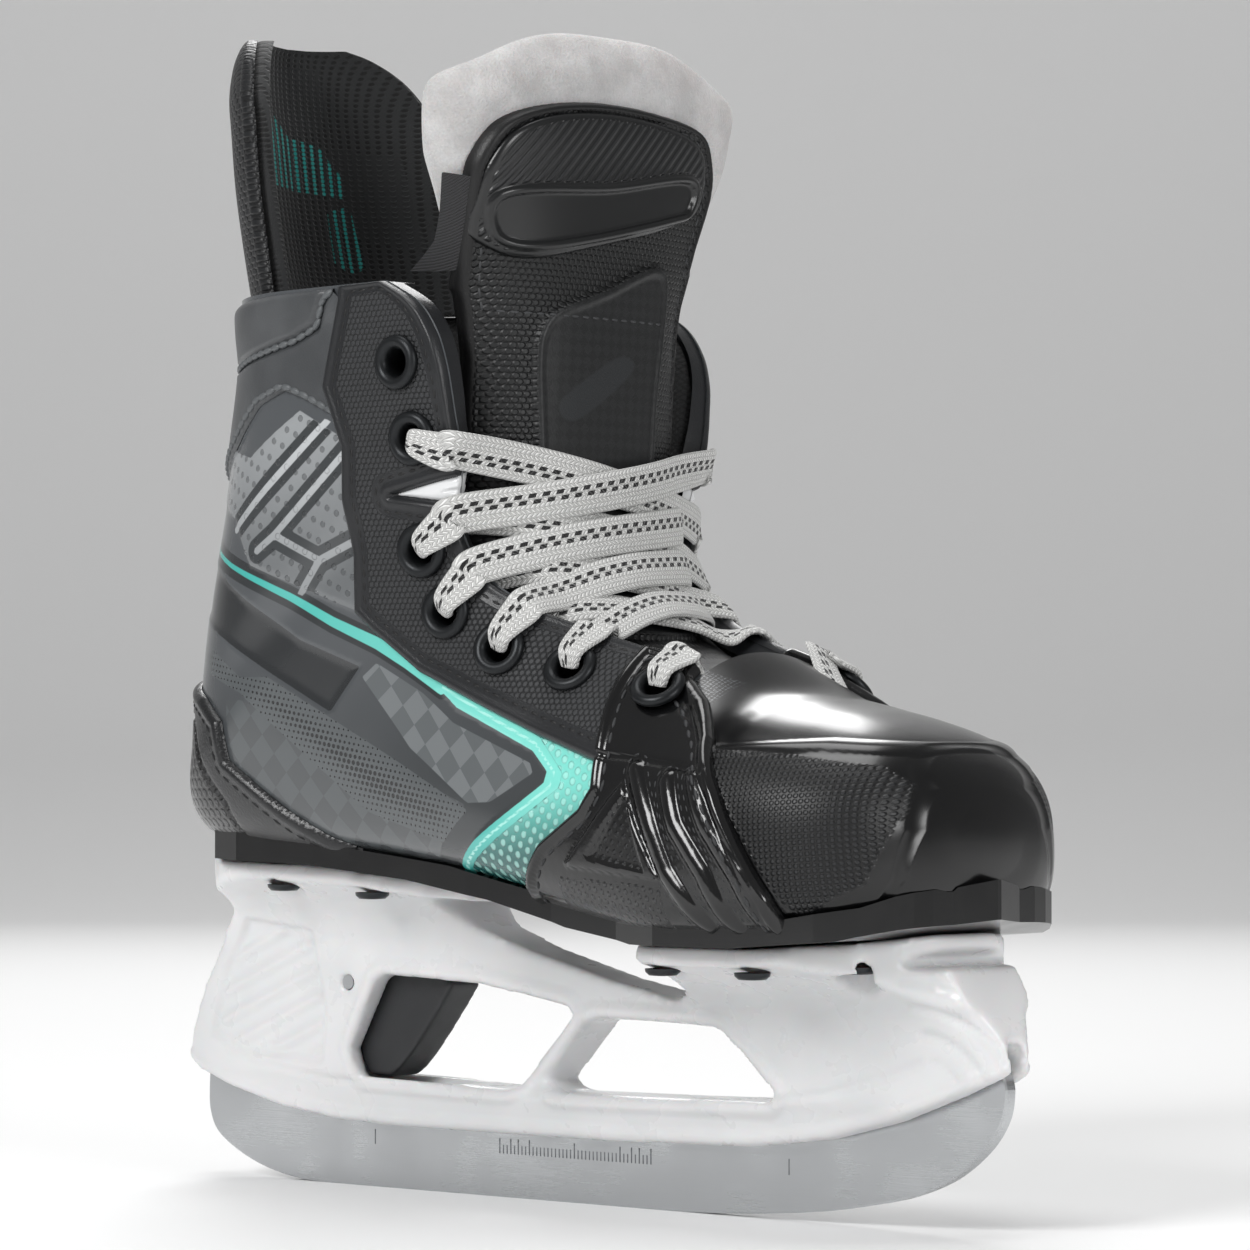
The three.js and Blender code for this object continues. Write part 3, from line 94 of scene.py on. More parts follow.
# Tongue stations: centre x, z, half width, depth of the curve, squareness.
TONGUE = np.array([
    (56, 97, 16, 4, 2.4), (44, 101.2, 19, 6, 2.5), (31, 106, 22, 9, 2.6), (20, 111.5, 24.5, 12, 2.8),
    (12.5, 118.5, 26.5, 16, 2.9), (8.5, 127.5, 28, 20, 3), (7.5, 138.5, 29, 23, 3),
    (8, 151, 29.6, 25, 3), (8.7, 163, 30.2, 27, 3), (9.4, 175, 31.8, 26, 2.9),
    (10.4, 187, 36.5, 19, 2.7), (11.8, 199, 42, 13.5, 2.5), (13.2, 210, 45, 10, 2.3),
    (13.4, 219.5, 44, 8, 2.2), (11.6, 228.6, 36, 6, 2.1),
])
EYELETS = (19.55, 17.3, 13.8, 12.25, 10.95, 9.62, 8.1)
EYELET_BACKSET = 10.5
STRAP_SEAT = 2.7
FACING_SEAT = 1.95
COLLAR = len(STATIONS) - 1


def smooth(table, u):
    """Rows of a table at any places u between them, on a smooth curve."""
    last = len(table) - 1
    u = np.clip(np.asarray(u, float), 0, last)
    i = np.minimum(u.astype(int), last - 1)
    t = (u - i)[..., None]
    a, b, c, d = table[np.maximum(i - 1, 0)], table[i], table[i + 1], table[np.minimum(i + 2, last)]
    v0, v1 = (c - a) / 2, (d - b) / 2
    return (2 * b - 2 * c + v0 + v1) * t**3 + (-3 * b + 3 * c - 2 * v0 - v1) * t**2 + v0 * t + b


def section(u, steps=72):
    """One section of the boot: offsets y, heights, length run, length at the lacing edge, base, direction."""
    bx, bz, tx, tz, width, wide, low, top, crown = smooth(STATIONS, u)
    rise = np.hypot(tx - bx, tz - bz)
    above = rise + crown - wide
    a = np.pi / 2 * np.arange(steps + 1) / steps
    r = ((np.sin(a) / width) ** low + (np.cos(a) / wide) ** low) ** (-1 / low)
    y, h = r * np.sin(a), wide - r * np.cos(a)
    a = a[1:]
    r = ((np.cos(a) / width) ** top + (np.sin(a) / above) ** top) ** (-1 / top)
    y, h = np.r_[y, r * np.cos(a)], np.r_[h, wide + r * np.sin(a)]
    run = np.r_[0, np.cumsum(np.hypot(np.diff(y), np.diff(h)))]
    edge = run[-1] if crown <= 1e-6 else np.interp(rise, h, run)
    return y, h, run, edge, np.array((bx, bz)), np.array((tx - bx, tz - bz)) / rise


SECTIONS = {}


def cut(u):
    """The section at station u, kept for later."""
    key = round(float(np.clip(u, 0, COLLAR)), 4)
    if key not in SECTIONS:
        SECTIONS[key] = section(key)
    return SECTIONS[key]


def edge_of(u):
    """Length round the section from the middle of the sole to the lacing edge."""
    return cut(u)[3]


def total_of(u):
    """Length round half the closed section."""
    return cut(u)[2][-1]


def boot_row(u, s):
    """Points of the boot at station u for an array of lengths s round the section, negative on the right."""
    y, h, run, _, base, way = cut(u)
    k = np.clip(np.abs(s), 0, run[-1])
    across, up = np.interp(k, run, y) * np.where(s < 0, -1, 1), np.interp(k, run, h)
    return np.stack([base[0] + way[0] * up, across, base[1] + way[1] * up], -1)


def boot_grid(u, s):
    """Points and outward normals on a grid of stations u (n,) and lengths s (n, m)."""
    points = np.array([boot_row(a, b) for a, b in zip(u, s)])
    ahead = np.array([boot_row(min(a + 0.06, COLLAR), b) for a, b in zip(u, s)])
    behind = np.array([boot_row(max(a - 0.06, 0), b) for a, b in zip(u, s)])
    right = np.array([boot_row(a, b - 0.8) for a, b in zip(u, s)])
    left = np.array([boot_row(a, b + 0.8) for a, b in zip(u, s)])
    return points, unit(np.cross(ahead - behind, left - right))


def boot_at(u, s, offset=0.0):
    """One point of the boot pushed out by offset, and its normal."""
    points, normals = boot_grid(np.array([u]), np.array([[s]], float))
    return points[0, 0] + normals[0, 0] * offset, normals[0, 0]


def tongue_skin(v, c):
    """Points of the tongue at stations v and shares c of the half width."""
    x, z, half, depth, square = np.moveaxis(smooth(TONGUE, v), -1, 0)
    step = smooth(TONGUE, v + 0.2) - smooth(TONGUE, v - 0.2)
    length = np.hypot(step[..., 0], step[..., 1])
    bulge = depth * (1 - (1 - np.minimum(np.abs(c), 1) ** square) ** (1 / square))
    return np.stack([x - step[..., 1] / length * bulge, half * c, z + step[..., 0] / length * bulge], -1)


def tongue_grid(v, c, offset):
    """Points and outward normals on the tongue for arrays v and c, pushed out by offset."""
    v, c = np.broadcast_arrays(np.asarray(v, float), np.asarray(c, float))
    reach = 0.97 - 0.19 * np.clip((v - 9) / 2, 0, 1)
    at = np.clip(c, -reach, reach)
    top = len(TONGUE) - 1
    along = tongue_skin(np.minimum(v + 0.15, top), at) - tongue_skin(np.maximum(v - 0.15, 0), at)
    across = tongue_skin(v, at + 0.02) - tongue_skin(v, at - 0.02)
    normals = unit(np.cross(across, along))
    return tongue_skin(v, c) + normals * np.asarray(offset)[..., None], normals


def unit(v):
    return v / np.maximum(np.linalg.norm(v, axis=-1, keepdims=True), 1e-9)


def spline(points, count):
    """A smooth curve through points, at evenly spaced places along it."""
    points = np.asarray(points, float)
    fine = smooth(points, np.linspace(0, len(points) - 1, 40 * len(points)))
    run = np.r_[0, np.cumsum(np.linalg.norm(np.diff(fine, axis=0), axis=1))]
    places = np.linspace(0, run[-1], count)
    return np.stack([np.interp(places, run, fine[:, k]) for k in range(fine.shape[1])], -1)


def inside(points, outline):
    """Distance of each (x, z) point from an outline, in mm, positive inside it."""
    a = np.asarray(outline, float)
    b = np.roll(a, -1, axis=0)
    x, z = points[:, 0], points[:, 1]
    near = np.full(len(points), 1e9)
    odd = np.zeros(len(points), bool)
    for (ax, az), (bx, bz) in zip(a, b):
        dx, dz = bx - ax, bz - az
        t = np.clip(((x - ax) * dx + (z - az) * dz) / (dx * dx + dz * dz + 1e-12), 0, 1)
        near = np.minimum(near, np.hypot(x - ax - t * dx, z - az - t * dz))
        if az != bz:
            odd ^= ((az > z) != (bz > z)) & (x < dx * (z - az) / dz + ax)
    return np.where(odd, near, -near)


def from_line(points, line):
    """Distance of each (x, z) point from an open line, in mm."""
    near = np.full(len(points), 1e9)
    for (ax, az), (bx, bz) in zip(line[:-1], line[1:]):
        dx, dz = bx - ax, bz - az
        t = np.clip(((points[:, 0] - ax) * dx + (points[:, 1] - az) * dz) / (dx * dx + dz * dz), 0, 1)
        near = np.minimum(near, np.hypot(points[:, 0] - ax - t * dx, points[:, 1] - az - t * dz))
    return near


def swell(d, radius):
    """0 at an edge, rising on a quarter circle to 1 at radius inside it."""
    t = np.clip(d / radius, 0, 1)
    return np.sqrt(1 - (1 - t) ** 2)


def bump(d, centre, half):
    """A round ridge of height 1 and the given half width, centred at distance centre."""
    return np.clip(1 - ((d - centre) / half) ** 2, 0, 1)


# ---- meshes ---------------------------------------------------------------------------------------
class Sheet:
    """A grid of points on a surface with its outward normals, which can be trimmed before it is shaped."""

    def __init__(self, points, normals):
        rows, columns = points.shape[:2]
        self.points, self.normals = points.reshape(-1, 3), normals.reshape(-1, 3)
        k = np.arange(rows * columns).reshape(rows, columns)
        a, b, c, d = (q.ravel() for q in (k[:-1, :-1], k[:-1, 1:], k[1:, 1:], k[1:, :-1]))
        self.faces = np.concatenate([np.stack([a, b, c], -1), np.stack([a, c, d], -1)])
        self.extra = np.zeros((len(self.points), 0))

    def flat(self):
        return self.points[:, [0, 2]]

    def trim(self, field):
        """Keep the part where field, a value at each point, is above zero, cut along its zero line."""
        keep, made, faces = field > 0, {}, []
        inside_count = keep[self.faces].sum(1)
        faces = [tuple(f) for f in self.faces[inside_count == 3]]
        data = [np.hstack([self.points, self.normals, self.extra])]
        size = len(self.points)

        def between(i, j):
            key = (min(i, j), max(i, j))
            if key not in made:
                t = field[i] / (field[i] - field[j])
                made[key] = size + len(made)
                data.append((data[0][i] * (1 - t) + data[0][j] * t)[None])
            return made[key]

        for f in self.faces[(inside_count > 0) & (inside_count < 3)]:
            loop = []
            for i, j in zip(f, np.roll(f, -1)):
                if keep[i]:
                    loop.append(i)
                if keep[i] != keep[j]:
                    loop.append(between(i, j))
            faces += [(loop[0], loop[k], loop[k + 1]) for k in range(1, len(loop) - 1)]
        data, faces = np.concatenate(data), np.array(faces)
        used, index = np.unique(faces, return_inverse=True)
        self.faces = index.reshape(-1, 3)
        self.points, self.normals, self.extra = data[used, :3], data[used, 3:6], data[used, 6:]
        return self


def add_mesh(name, points, faces, material, attributes=None, uv=None, fine=True):
    """A smooth-shaded mesh object from points in mm."""
    mesh = bpy.data.meshes.new(name)
    mesh.from_pydata((np.asarray(points) * MM).tolist(), [], [tuple(map(int, f)) for f in faces])
    mesh.shade_smooth() if fine else mesh.shade_flat()
    if uv is not None:
        layer = mesh.uv_layers.new(name="UVMap")
        loops = np.zeros(len(mesh.loops), np.int32)
        mesh.loops.foreach_get("vertex_index", loops)
        layer.data.foreach_set("uv", np.asarray(uv, np.float32)[loops].ravel())
    mesh.materials.append(material)
    made = bpy.data.objects.new(name, mesh)
    bpy.context.scene.collection.objects.link(made)
    for key, values in (attributes or {}).items():
        mark(made, key, values)
    return made


def mark(obj, key, values):
    """Store a value on each point of a piece, for its material to read."""
    layer = obj.data.attributes.new(key, "FLOAT", "POINT")
    layer.data.foreach_set("value", np.asarray(values, np.float32))


def add_sheet(name, sheet, offset, material, attributes=None):
    return add_mesh(name, sheet.points + sheet.normals * offset[:, None], sheet.faces, material, attributes)


def loft(name, rows, material, closed=True, caps=False, uv=None, fine=True):
    """A skin over rows of points, (n, m, 3)."""
    rows = np.asarray(rows)
    n, m = rows.shape[:2]
    k = np.arange(n * m).reshape(n, m)
    if closed:
        k = np.hstack([k, k[:, :1]])
    quads = np.stack([k[:-1, :-1], k[:-1, 1:], k[1:, 1:], k[1:, :-1]], -1).reshape(-1, 4)
    faces = [tuple(q) for q in quads]
    if caps:
        faces += [tuple(range(m))[::-1], tuple(range(n * m - m, n * m))]
    return add_mesh(name, rows.reshape(-1, 3), faces, material, uv=uv, fine=fine)


def join(name, objects):
    """One object out of several."""
    bpy.ops.object.select_all(action="DESELECT")
    for o in objects:
        o.select_set(True)
    bpy.context.view_layer.objects.active = objects[0]
    bpy.ops.object.join()
    objects[0].name = name
    return objects[0]


def plain(obj):
    """The object with its modifiers taken into its mesh."""
    bpy.context.view_layer.update()
    ready = obj.evaluated_get(bpy.context.evaluated_depsgraph_get())
    mesh = bpy.data.meshes.new_from_object(ready)
    obj.modifiers.clear()
    obj.data = mesh
    return obj


def face_out(obj):
    """Turn the faces of a closed mesh to point out."""
    work = bmesh.new()
    work.from_mesh(obj.data)
    bmesh.ops.recalc_face_normals(work, faces=work.faces)
    work.to_mesh(obj.data)
    work.free()
    return obj


def settle(obj, body, material_slot, *nodes):
    """The piece rides on a body, takes its finish from a slot and stands for some CAD nodes."""
    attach(obj, body)
    if nodes:
        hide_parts(*nodes)
    return obj


# ---- repeats: one node group that sets a shape on every point of a mesh -----------------------------
def repeat_group():
    group = bpy.data.node_groups.get("Repeat On Points")
    if group:
        return group
    group = bpy.data.node_groups.new("Repeat On Points", "GeometryNodeTree")
    for name, kind in (
        ("Geometry", "NodeSocketGeometry"), ("Shape", "NodeSocketObject"), ("Size", "NodeSocketFloat"),
        ("Material", "NodeSocketMaterial"),
    ):
        group.interface.new_socket(name, in_out="INPUT", socket_type=kind)
    group.interface.new_socket("Geometry", in_out="OUTPUT", socket_type="NodeSocketGeometry")
    nodes, links = group.nodes, group.links
    start, end = nodes.new("NodeGroupInput"), nodes.new("NodeGroupOutput")
    up, along = nodes.new("GeometryNodeInputNamedAttribute"), nodes.new("GeometryNodeInputNamedAttribute")
    for item, name in ((up, "up"), (along, "along")):
        item.data_type = "FLOAT_VECTOR"
        item.inputs["Name"].default_value = name
    aim, turn = nodes.new("FunctionNodeAlignRotationToVector"), nodes.new("FunctionNodeAlignRotationToVector")
    aim.axis, turn.axis, turn.pivot_axis = "Z", "X", "Z"
    shape, place = nodes.new("GeometryNodeObjectInfo"), nodes.new("GeometryNodeInstanceOnPoints")
    solid, paint = nodes.new("GeometryNodeRealizeInstances"), nodes.new("GeometryNodeSetMaterial")
    for a, b in (
        ((up, "Attribute"), (aim, "Vector")), ((along, "Attribute"), (turn, "Vector")),
        ((aim, "Rotation"), (turn, "Rotation")), ((start, "Shape"), (shape, "Object")),
        ((start, "Geometry"), (place, "Points")), ((shape, "Geometry"), (place, "Instance")),
        ((turn, "Rotation"), (place, "Rotation")), ((start, "Size"), (place, "Scale")),
        ((place, "Instances"), (solid, "Geometry")), ((solid, "Geometry"), (paint, "Geometry")),
        ((start, "Material"), (paint, "Material")), ((paint, "Geometry"), (end, "Geometry")),
    ):
        links.new(a[0].outputs[a[1]], b[0].inputs[b[1]])
    return group


def repeat(name, shape, places, ups, alongs, material, size=1.0):
    """Set the shape on every place, its Z along up and its X along along, and return one plain mesh."""
    mesh = bpy.data.meshes.new(name)
    mesh.from_pydata((np.asarray(places) * MM).tolist(), [], [])
    for key, values in (("up", ups), ("along", alongs)):
        data = np.asarray(values, np.float32)
        mesh.attributes.new(key, "FLOAT_VECTOR", "POINT").data.foreach_set("vector", data.ravel())
    made = bpy.data.objects.new(name, mesh)
    bpy.context.scene.collection.objects.link(made)
    group = repeat_group()
    modifier = made.modifiers.new("Repeat", "NODES")
    modifier.node_group = group
    for item in group.interface.items_tree:
        if item.in_out == "INPUT" and item.name != "Geometry":
            modifier[item.identifier] = {"Shape": shape, "Size": size, "Material": material}[item.name]
    plain(made)
    bpy.data.objects.remove(shape)
    return made


def ellipsoid(length, width, height):
    """A small rounded stitch or stud, centred on the origin, as a source shape."""
    a, b = np.meshgrid(np.linspace(0, np.pi, 6), np.linspace(0, 2 * np.pi, 7)[:-1], indexing="ij")
    shape = np.stack([np.cos(a), np.sin(a) * np.cos(b), np.sin(a) * np.sin(b)], -1)
    return loft("source", shape * np.array((length, width, height)) / 2, None)


# ---- materials --------------------------------------------------------------------------------------
def srgb(code):
    """A hex colour as linear RGBA."""
    parts = [int(code[k:k + 2], 16) / 255 for k in (1, 3, 5)]
    return tuple(p / 12.92 if p <= 0.04045 else ((p + 0.055) / 1.055) ** 2.4 for p in parts) + (1.0,)


class Paint:
    """A material under construction: a Principled shader and the nodes that feed it."""

    def __init__(self, name, base="#808080", rough=0.5, **values):
        self.material = bpy.data.materials.new(name)
        self.material.use_nodes = True
        self.tree = self.material.node_tree
        self.shader = self.tree.nodes["Principled BSDF"]
        self.put("Base Color", srgb(base) if isinstance(base, str) else base)
        self.put("Roughness", rough)
        for key, value in values.items():
            self.put(key.replace("_", " "), value)

    def put(self, key, value):
        self.link(value, self.shader.inputs[key])

    def link(self, value, socket):
        if isinstance(value, bpy.types.NodeSocket):
            self.tree.links.new(value, socket)
        else:
            socket.default_value = value

    def add(self, kind, inputs=None, out=0, **settings):
        made = self.tree.nodes.new(kind)
        for key, value in settings.items():
            setattr(made, key, value)
        for key, value in (inputs or {}).items():
            self.link(value, made.inputs[key])
        return made.outputs[out]

    def math(self, operation, a, b=0.0, c=0.0, clamp=False):
        return self.add("ShaderNodeMath", {0: a, 1: b, 2: c}, operation=operation, use_clamp=clamp)

    def vector(self, operation, a, b=(0, 0, 0), out=0):
        return self.add("ShaderNodeVectorMath", {0: a, 1: b}, out=out, operation=operation)

    def mix(self, factor, a, b):
        a, b = (srgb(q) if isinstance(q, str) else q for q in (a, b))
        return self.add("ShaderNodeMix", {0: factor, 6: a, 7: b}, out=2, data_type="RGBA")

    def ramp(self, value, low, high, to_low=0.0, to_high=1.0):
        inputs = {"Value": value, "From Min": low, "From Max": high, "To Min": to_low, "To Max": to_high}
        return self.add("ShaderNodeMapRange", inputs, interpolation_type="SMOOTHSTEP")

    def attribute(self, name):
        return self.add("ShaderNodeAttribute", out=2, attribute_name=name)

    def mask(self, name, edge=0.0, blur=0.12):
        """1 inside an outline whose distances in mm are stored in an attribute."""
        return self.ramp(self.attribute(name), edge - blur, edge + blur)

    def place(self, axes="xz"):
        """The point's place in mm as (across, up, 0), seen from the side or along the named axes."""
        parts = self.add("ShaderNodeSeparateXYZ", {0: self.add("ShaderNodeTexCoord", out=3)}, out=0).node
        picked = [self.math("MULTIPLY", parts.outputs["xyz".index(k)], 1000.0) for k in axes]
        return self.add("ShaderNodeCombineXYZ", {0: picked[0], 1: picked[1]})

    def noise(self, scale, detail=3.0, stretch=(1, 1, 1), space=None):
        """Noise with features about scale mm across."""
        source = space or self.vector("MULTIPLY", self.add("ShaderNodeTexCoord", out=3), (1000, 1000, 1000))
        placed = self.vector("MULTIPLY", source, tuple(q / scale for q in stretch))
        return self.add("ShaderNodeTexNoise", {"Vector": placed, "Scale": 1.0, "Detail": detail})

    def lattice(self, place, across, up, shift=(0.0, 0.0)):
        """Distance in mm to the nearest point of a rectangular lattice."""
        moved = self.vector("ADD", place, (shift[0], shift[1], 0.0))
        part = self.vector("FRACTION", self.vector("DIVIDE", moved, (across, up, 1e9)))
        offset = self.vector("MULTIPLY", self.vector("SUBTRACT", part, (0.5, 0.5, 0)), (across, up, 0))
        return self.vector("LENGTH", offset, out=1)

    def hexes(self, place, pitch):
        """Distance in mm to the nearest point of a honeycomb lattice."""
        tall = pitch * math.sqrt(3)
        shifted = self.lattice(place, pitch, tall, (pitch / 2, tall / 2))
        return self.math("MINIMUM", self.lattice(place, pitch, tall), shifted)

    def turned(self, place, degrees):
        return self.add("ShaderNodeVectorRotate", {"Vector": place, "Angle": math.radians(degrees)},
                        rotation_type="Z_AXIS")

    def relief(self, *heights, mm=0.15, strength=1.0):
        """Surface relief from heights in units of mm."""
        total = heights[0]
        for h in heights[1:]:
            total = self.math("ADD", total, h)
        bumped = self.add("ShaderNodeBump", {"Strength": strength, "Distance": mm * MM, "Height": total})
        self.put("Normal", bumped)
        return bumped


def steel():
    """Ground and polished stainless steel: fine grinding lines along the runner, uneven gloss."""
    paint = Paint("runner steel", "#c4c6c8", 0.2, Metallic=1.0)
    lines = paint.noise(0.25, 4.0, (0.02, 1, 1))
    cloud = paint.noise(18.0, 2.0)
    uneven = paint.math("ADD", paint.math("MULTIPLY", lines, 0.5), cloud)
    paint.put("Roughness", paint.ramp(uneven, 0.4, 1.1, 0.2, 0.42))
    paint.relief(lines, mm=0.02, strength=0.5)
    return paint.material


def moulded(name, base, rough, grain=0.25, mm=0.02, **values):
    """Injection-moulded plastic or lacquered metal: a fine grain and slightly uneven gloss."""
    paint = Paint(name, base, rough, **values)
    paint.put("Roughness", paint.ramp(paint.noise(6.0, 3.0), 0.3, 0.7, rough * 0.88, rough * 1.12))
    paint.relief(paint.noise(grain, 2.0), mm=mm, strength=0.4)
    return paint.material


def cloth(name, base, dark, rough=0.95, thread=0.45):
    """Woven or knitted cloth: crossed threads a fraction of a millimetre apart."""
    paint = Paint(name, base, rough, Sheen_Weight=0.3, Sheen_Roughness=0.6)
    place = paint.place()
    cross = paint.lattice(paint.turned(place, 45), thread, thread)
    weave = paint.ramp(cross, thread * 0.15, thread * 0.6)
    # The low places between the threads are painted towards the dark colour: painted shade, with random tone from
    # the noise added.
    tone = paint.math("ADD", weave, paint.math("MULTIPLY", paint.noise(4.0), 0.4), clamp=True)
    paint.put("Base Color", paint.mix(tone, base, dark))
    paint.relief(paint.math("SUBTRACT", 1.0, weave), paint.noise(0.3), mm=0.15, strength=0.7)
    return paint.material


def felt():
    """Thick pressed white felt: matted fibres, soft mottling and a faint fuzz."""
    paint = Paint("felt", "#c4c4c3", 0.97, Sheen_Weight=0.6, Sheen_Roughness=0.5, Subsurface_Weight=0.08)
    fibres = paint.noise(0.5, 6.0)
    cloud = paint.noise(7.0, 4.0)
    mottle = paint.math("ADD", paint.math("MULTIPLY", fibres, 0.35), paint.math("MULTIPLY", cloud, 0.65))
    tone = paint.ramp(mottle, 0.3, 0.75)
    paint.put("Base Color", paint.mix(tone, "#aeaeae", "#cfcfcf"))
    paint.relief(fibres, paint.math("MULTIPLY", cloud, 2.0), mm=0.35, strength=0.8)
    return paint.material


def dimpled(name, base, groove_shade, pitch=1.5, rough=0.5, axes="xz", masked=None, smooth_rough=0.3, edge_dark=None):
    """Synthetic leather embossed with a honeycomb of small cells, as on skate facings and tongues."""
    paint = Paint(name, base, rough, Specular_IOR_Level=0.4)
    cell = paint.ramp(paint.hexes(paint.place(axes), pitch), pitch * 0.28, pitch * 0.56)
    # The grooves between the raised cells are painted in the darker second colour: painted shade in the hollows.
    shade = paint.mix(cell, base, groove_shade)
    height = paint.math("SUBTRACT", 1.0, cell)
    if masked:
        inner = paint.mask(masked[0], masked[1])
        height = paint.math("MULTIPLY", height, inner)
        shade = paint.mix(inner, edge_dark or base, shade)
        grain = paint.math("MULTIPLY", inner, rough - smooth_rough)
        paint.put("Roughness", paint.math("ADD", grain, smooth_rough))
    paint.put("Base Color", shade)
    paint.relief(height, paint.math("MULTIPLY", paint.noise(0.3), 0.25), mm=0.28, strength=0.9)
    return paint.material


def toe_gloss():
    """Glossy moulded toe cap with side panels of fine square studs."""
    paint = Paint("toe cap", "#060607", 0.24, Coat_Weight=0.15, Coat_Roughness=0.12)
    panel = paint.mask("panel", 0.0, 0.5)
    stud = paint.ramp(paint.lattice(paint.turned(paint.place(), -4), 1.05, 1.05), 0.22, 0.5, 1.0, 0.0)
    studs = paint.math("MULTIPLY", stud, panel)
    # The raised studs are painted lighter than the gloss ground between them: painted highlight on the stud tops.
    paint.put("Base Color", paint.mix(studs, "#060607", "#1f2022"))
    paint.put("Roughness", paint.math("ADD", 0.24, paint.math("MULTIPLY", panel, 0.2)))
    paint.put("Coat Weight", paint.math("SUBTRACT", 0.15, paint.math("MULTIPLY", panel, 0.15)))
    paint.relief(studs, mm=0.3)
    return paint.material


def strap_gloss():
    """Glossy moulded polyurethane with small studs and ribs in its lower panels."""
    paint = Paint("toe strap", "#0b0b0c", 0.16, Coat_Weight=0.35, Coat_Roughness=0.08)
    panel = paint.mask("studs", 0.4, 0.3)
    stud = paint.ramp(paint.hexes(paint.turned(paint.place(), 12), 1.9), 0.3, 0.62, 1.0, 0.0)
    studs = paint.math("MULTIPLY", stud, panel)
    # The raised studs are painted lighter than the gloss ground between them: painted highlight on the stud tops.
    paint.put("Base Color", paint.mix(studs, "#0b0b0c", "#1b1c1e"))
    paint.put("Roughness", paint.math("ADD", 0.16, paint.math("MULTIPLY", panel, 0.16)))
    paint.relief(studs, paint.math("MULTIPLY", paint.noise(2.5, 2.0), 0.25), mm=0.35)
    return paint.material


def quarter_print(look):
    """The printed and lacquered composite quarter: greys with a carbon check, perforation dots, silver blocks
    and a teal line that widens into a chevron."""
    teal, aqua, silver = (tuple(q) + (1.0,) for q in (look.teal, look.aqua, look.silver))
    paint = Paint("quarter print", "#46494c", 0.2, Coat_Weight=0.45, Coat_Roughness=0.1)
    place = paint.place()
    parts = paint.add("ShaderNodeSeparateXYZ", {0: place}).node
    x, z = parts.outputs[0], parts.outputs[1]
    grey = paint.mix(paint.ramp(z, 72, 118), "#3b3e40", "#515457")
    check = paint.add("ShaderNodeTexChecker", {"Vector": paint.turned(place, -38), "Scale": 0.21}, out=1)
    check_grey = paint.mix(check, "#606466", "#75797b")
    colour = paint.mix(paint.mask("lower"), grey, paint.mix(check, "#4b4e50", "#54585a"))
    # perforation dots, denser in the middle of their band
    dot = paint.lattice(paint.turned(place, -28), 2.0, 1.5)
    dot = paint.math("MINIMUM", dot, paint.lattice(paint.turned(place, -28), 2.0, 1.5, (1.0, 0.75)))
    size = paint.ramp(paint.attribute("perforated"), 0, 7, 0.2, 0.52)
    dots = paint.math("MULTIPLY", paint.math("LESS_THAN", dot, size), paint.mask("perforated"))
    colour = paint.mix(paint.mask("perforated"), colour, "#55595b")
    colour = paint.mix(dots, colour, "#1e1f21")
    colour = paint.mix(paint.mask("band"), colour, "#2a2c2e")
    colour = paint.mix(paint.mask("border"), colour, "#303335")
    colour = paint.mix(paint.mask("carbon"), colour, check_grey)
    # silver blocks with rows of small dashes
    row = paint.turned(place, 24)
    dash = paint.lattice(row, 2.6, 3.4)
    dashes = paint.ramp(dash, 0.45, 0.75, 1.0, 0.0)
    block = paint.mix(paint.ramp(z, 118, 156), "#6b6e70", silver)
    block = paint.mix(paint.math("MULTIPLY", dashes, 0.55), block, "#4a4d4f")
    colour = paint.mix(paint.mask("silver"), colour, block)
    colour = paint.mix(paint.mask("bars"), colour, paint.mix(paint.ramp(z, 116, 156), "#8b8e90", "#c3c6c8"))
    colour = paint.mix(paint.mask("gaps"), colour, "#3c3f41")
    # teal
    field = paint.mix(paint.ramp(z, 66, 84), "#1d5d5a", aqua)
    tri = paint.ramp(paint.lattice(paint.turned(place, 30), 2.2, 2.2), 0.5, 0.9, 1.0, 0.0)
    field = paint.mix(paint.math("MULTIPLY", tri, 0.45), field, "#c4fff4")
    colour = paint.mix(paint.mask("field"), colour, field)
    line = paint.mix(paint.ramp(x, -60, 22), teal, aqua)
    line = paint.mix(paint.ramp(z, 84, 66), line, teal)
    colour = paint.mix(paint.mask("teal"), colour, line)
    colour = paint.mix(paint.math("MULTIPLY", paint.mask("shine"), 0.6), colour, "#c9fff6")
    paint.put("Base Color", colour)
    raised = paint.math("MULTIPLY", dashes, paint.mask("silver"))
    raised = paint.math("ADD", raised, paint.math("MULTIPLY", tri, paint.mask("field")))
    paint.relief(raised, paint.math("MULTIPLY", dots, -1.0), mm=0.25)
    return paint.material


def counter_skin():
    """Black heel overlay: smooth lacquered middle, honeycomb lower corner and a carbon-like grain."""
    paint = Paint("heel counter", "#121315", 0.3, Coat_Weight=0.2, Coat_Roughness=0.15)
    cell = paint.ramp(paint.hexes(paint.place(), 2.3), 0.5, 1.0)
    height = paint.math("MULTIPLY", cell, paint.mask("corner", 0.0, 0.4))
    # The sunken lines of the honeycomb are painted darker: painted shade in the recesses.
    paint.put("Base Color", paint.mix(height, "#151618", "#0a0a0b"))
    paint.relief(paint.math("MULTIPLY", height, -1.5), paint.math("MULTIPLY", paint.noise(0.5), 0.5), mm=0.25)
    return paint.material


def collar_leather():
    """Smooth grey synthetic leather, softly worn."""
    paint = Paint("collar", "#494b4d", 0.36, Specular_IOR_Level=0.5)
    cloud = paint.noise(12.0, 3.0)
    paint.put("Base Color", paint.mix(paint.ramp(cloud, 0.3, 0.7), "#424446", "#505254"))
    paint.relief(paint.noise(0.35, 3.0), paint.math("MULTIPLY", paint.noise(3.0), 0.6), mm=0.08, strength=0.7)
    return paint.material


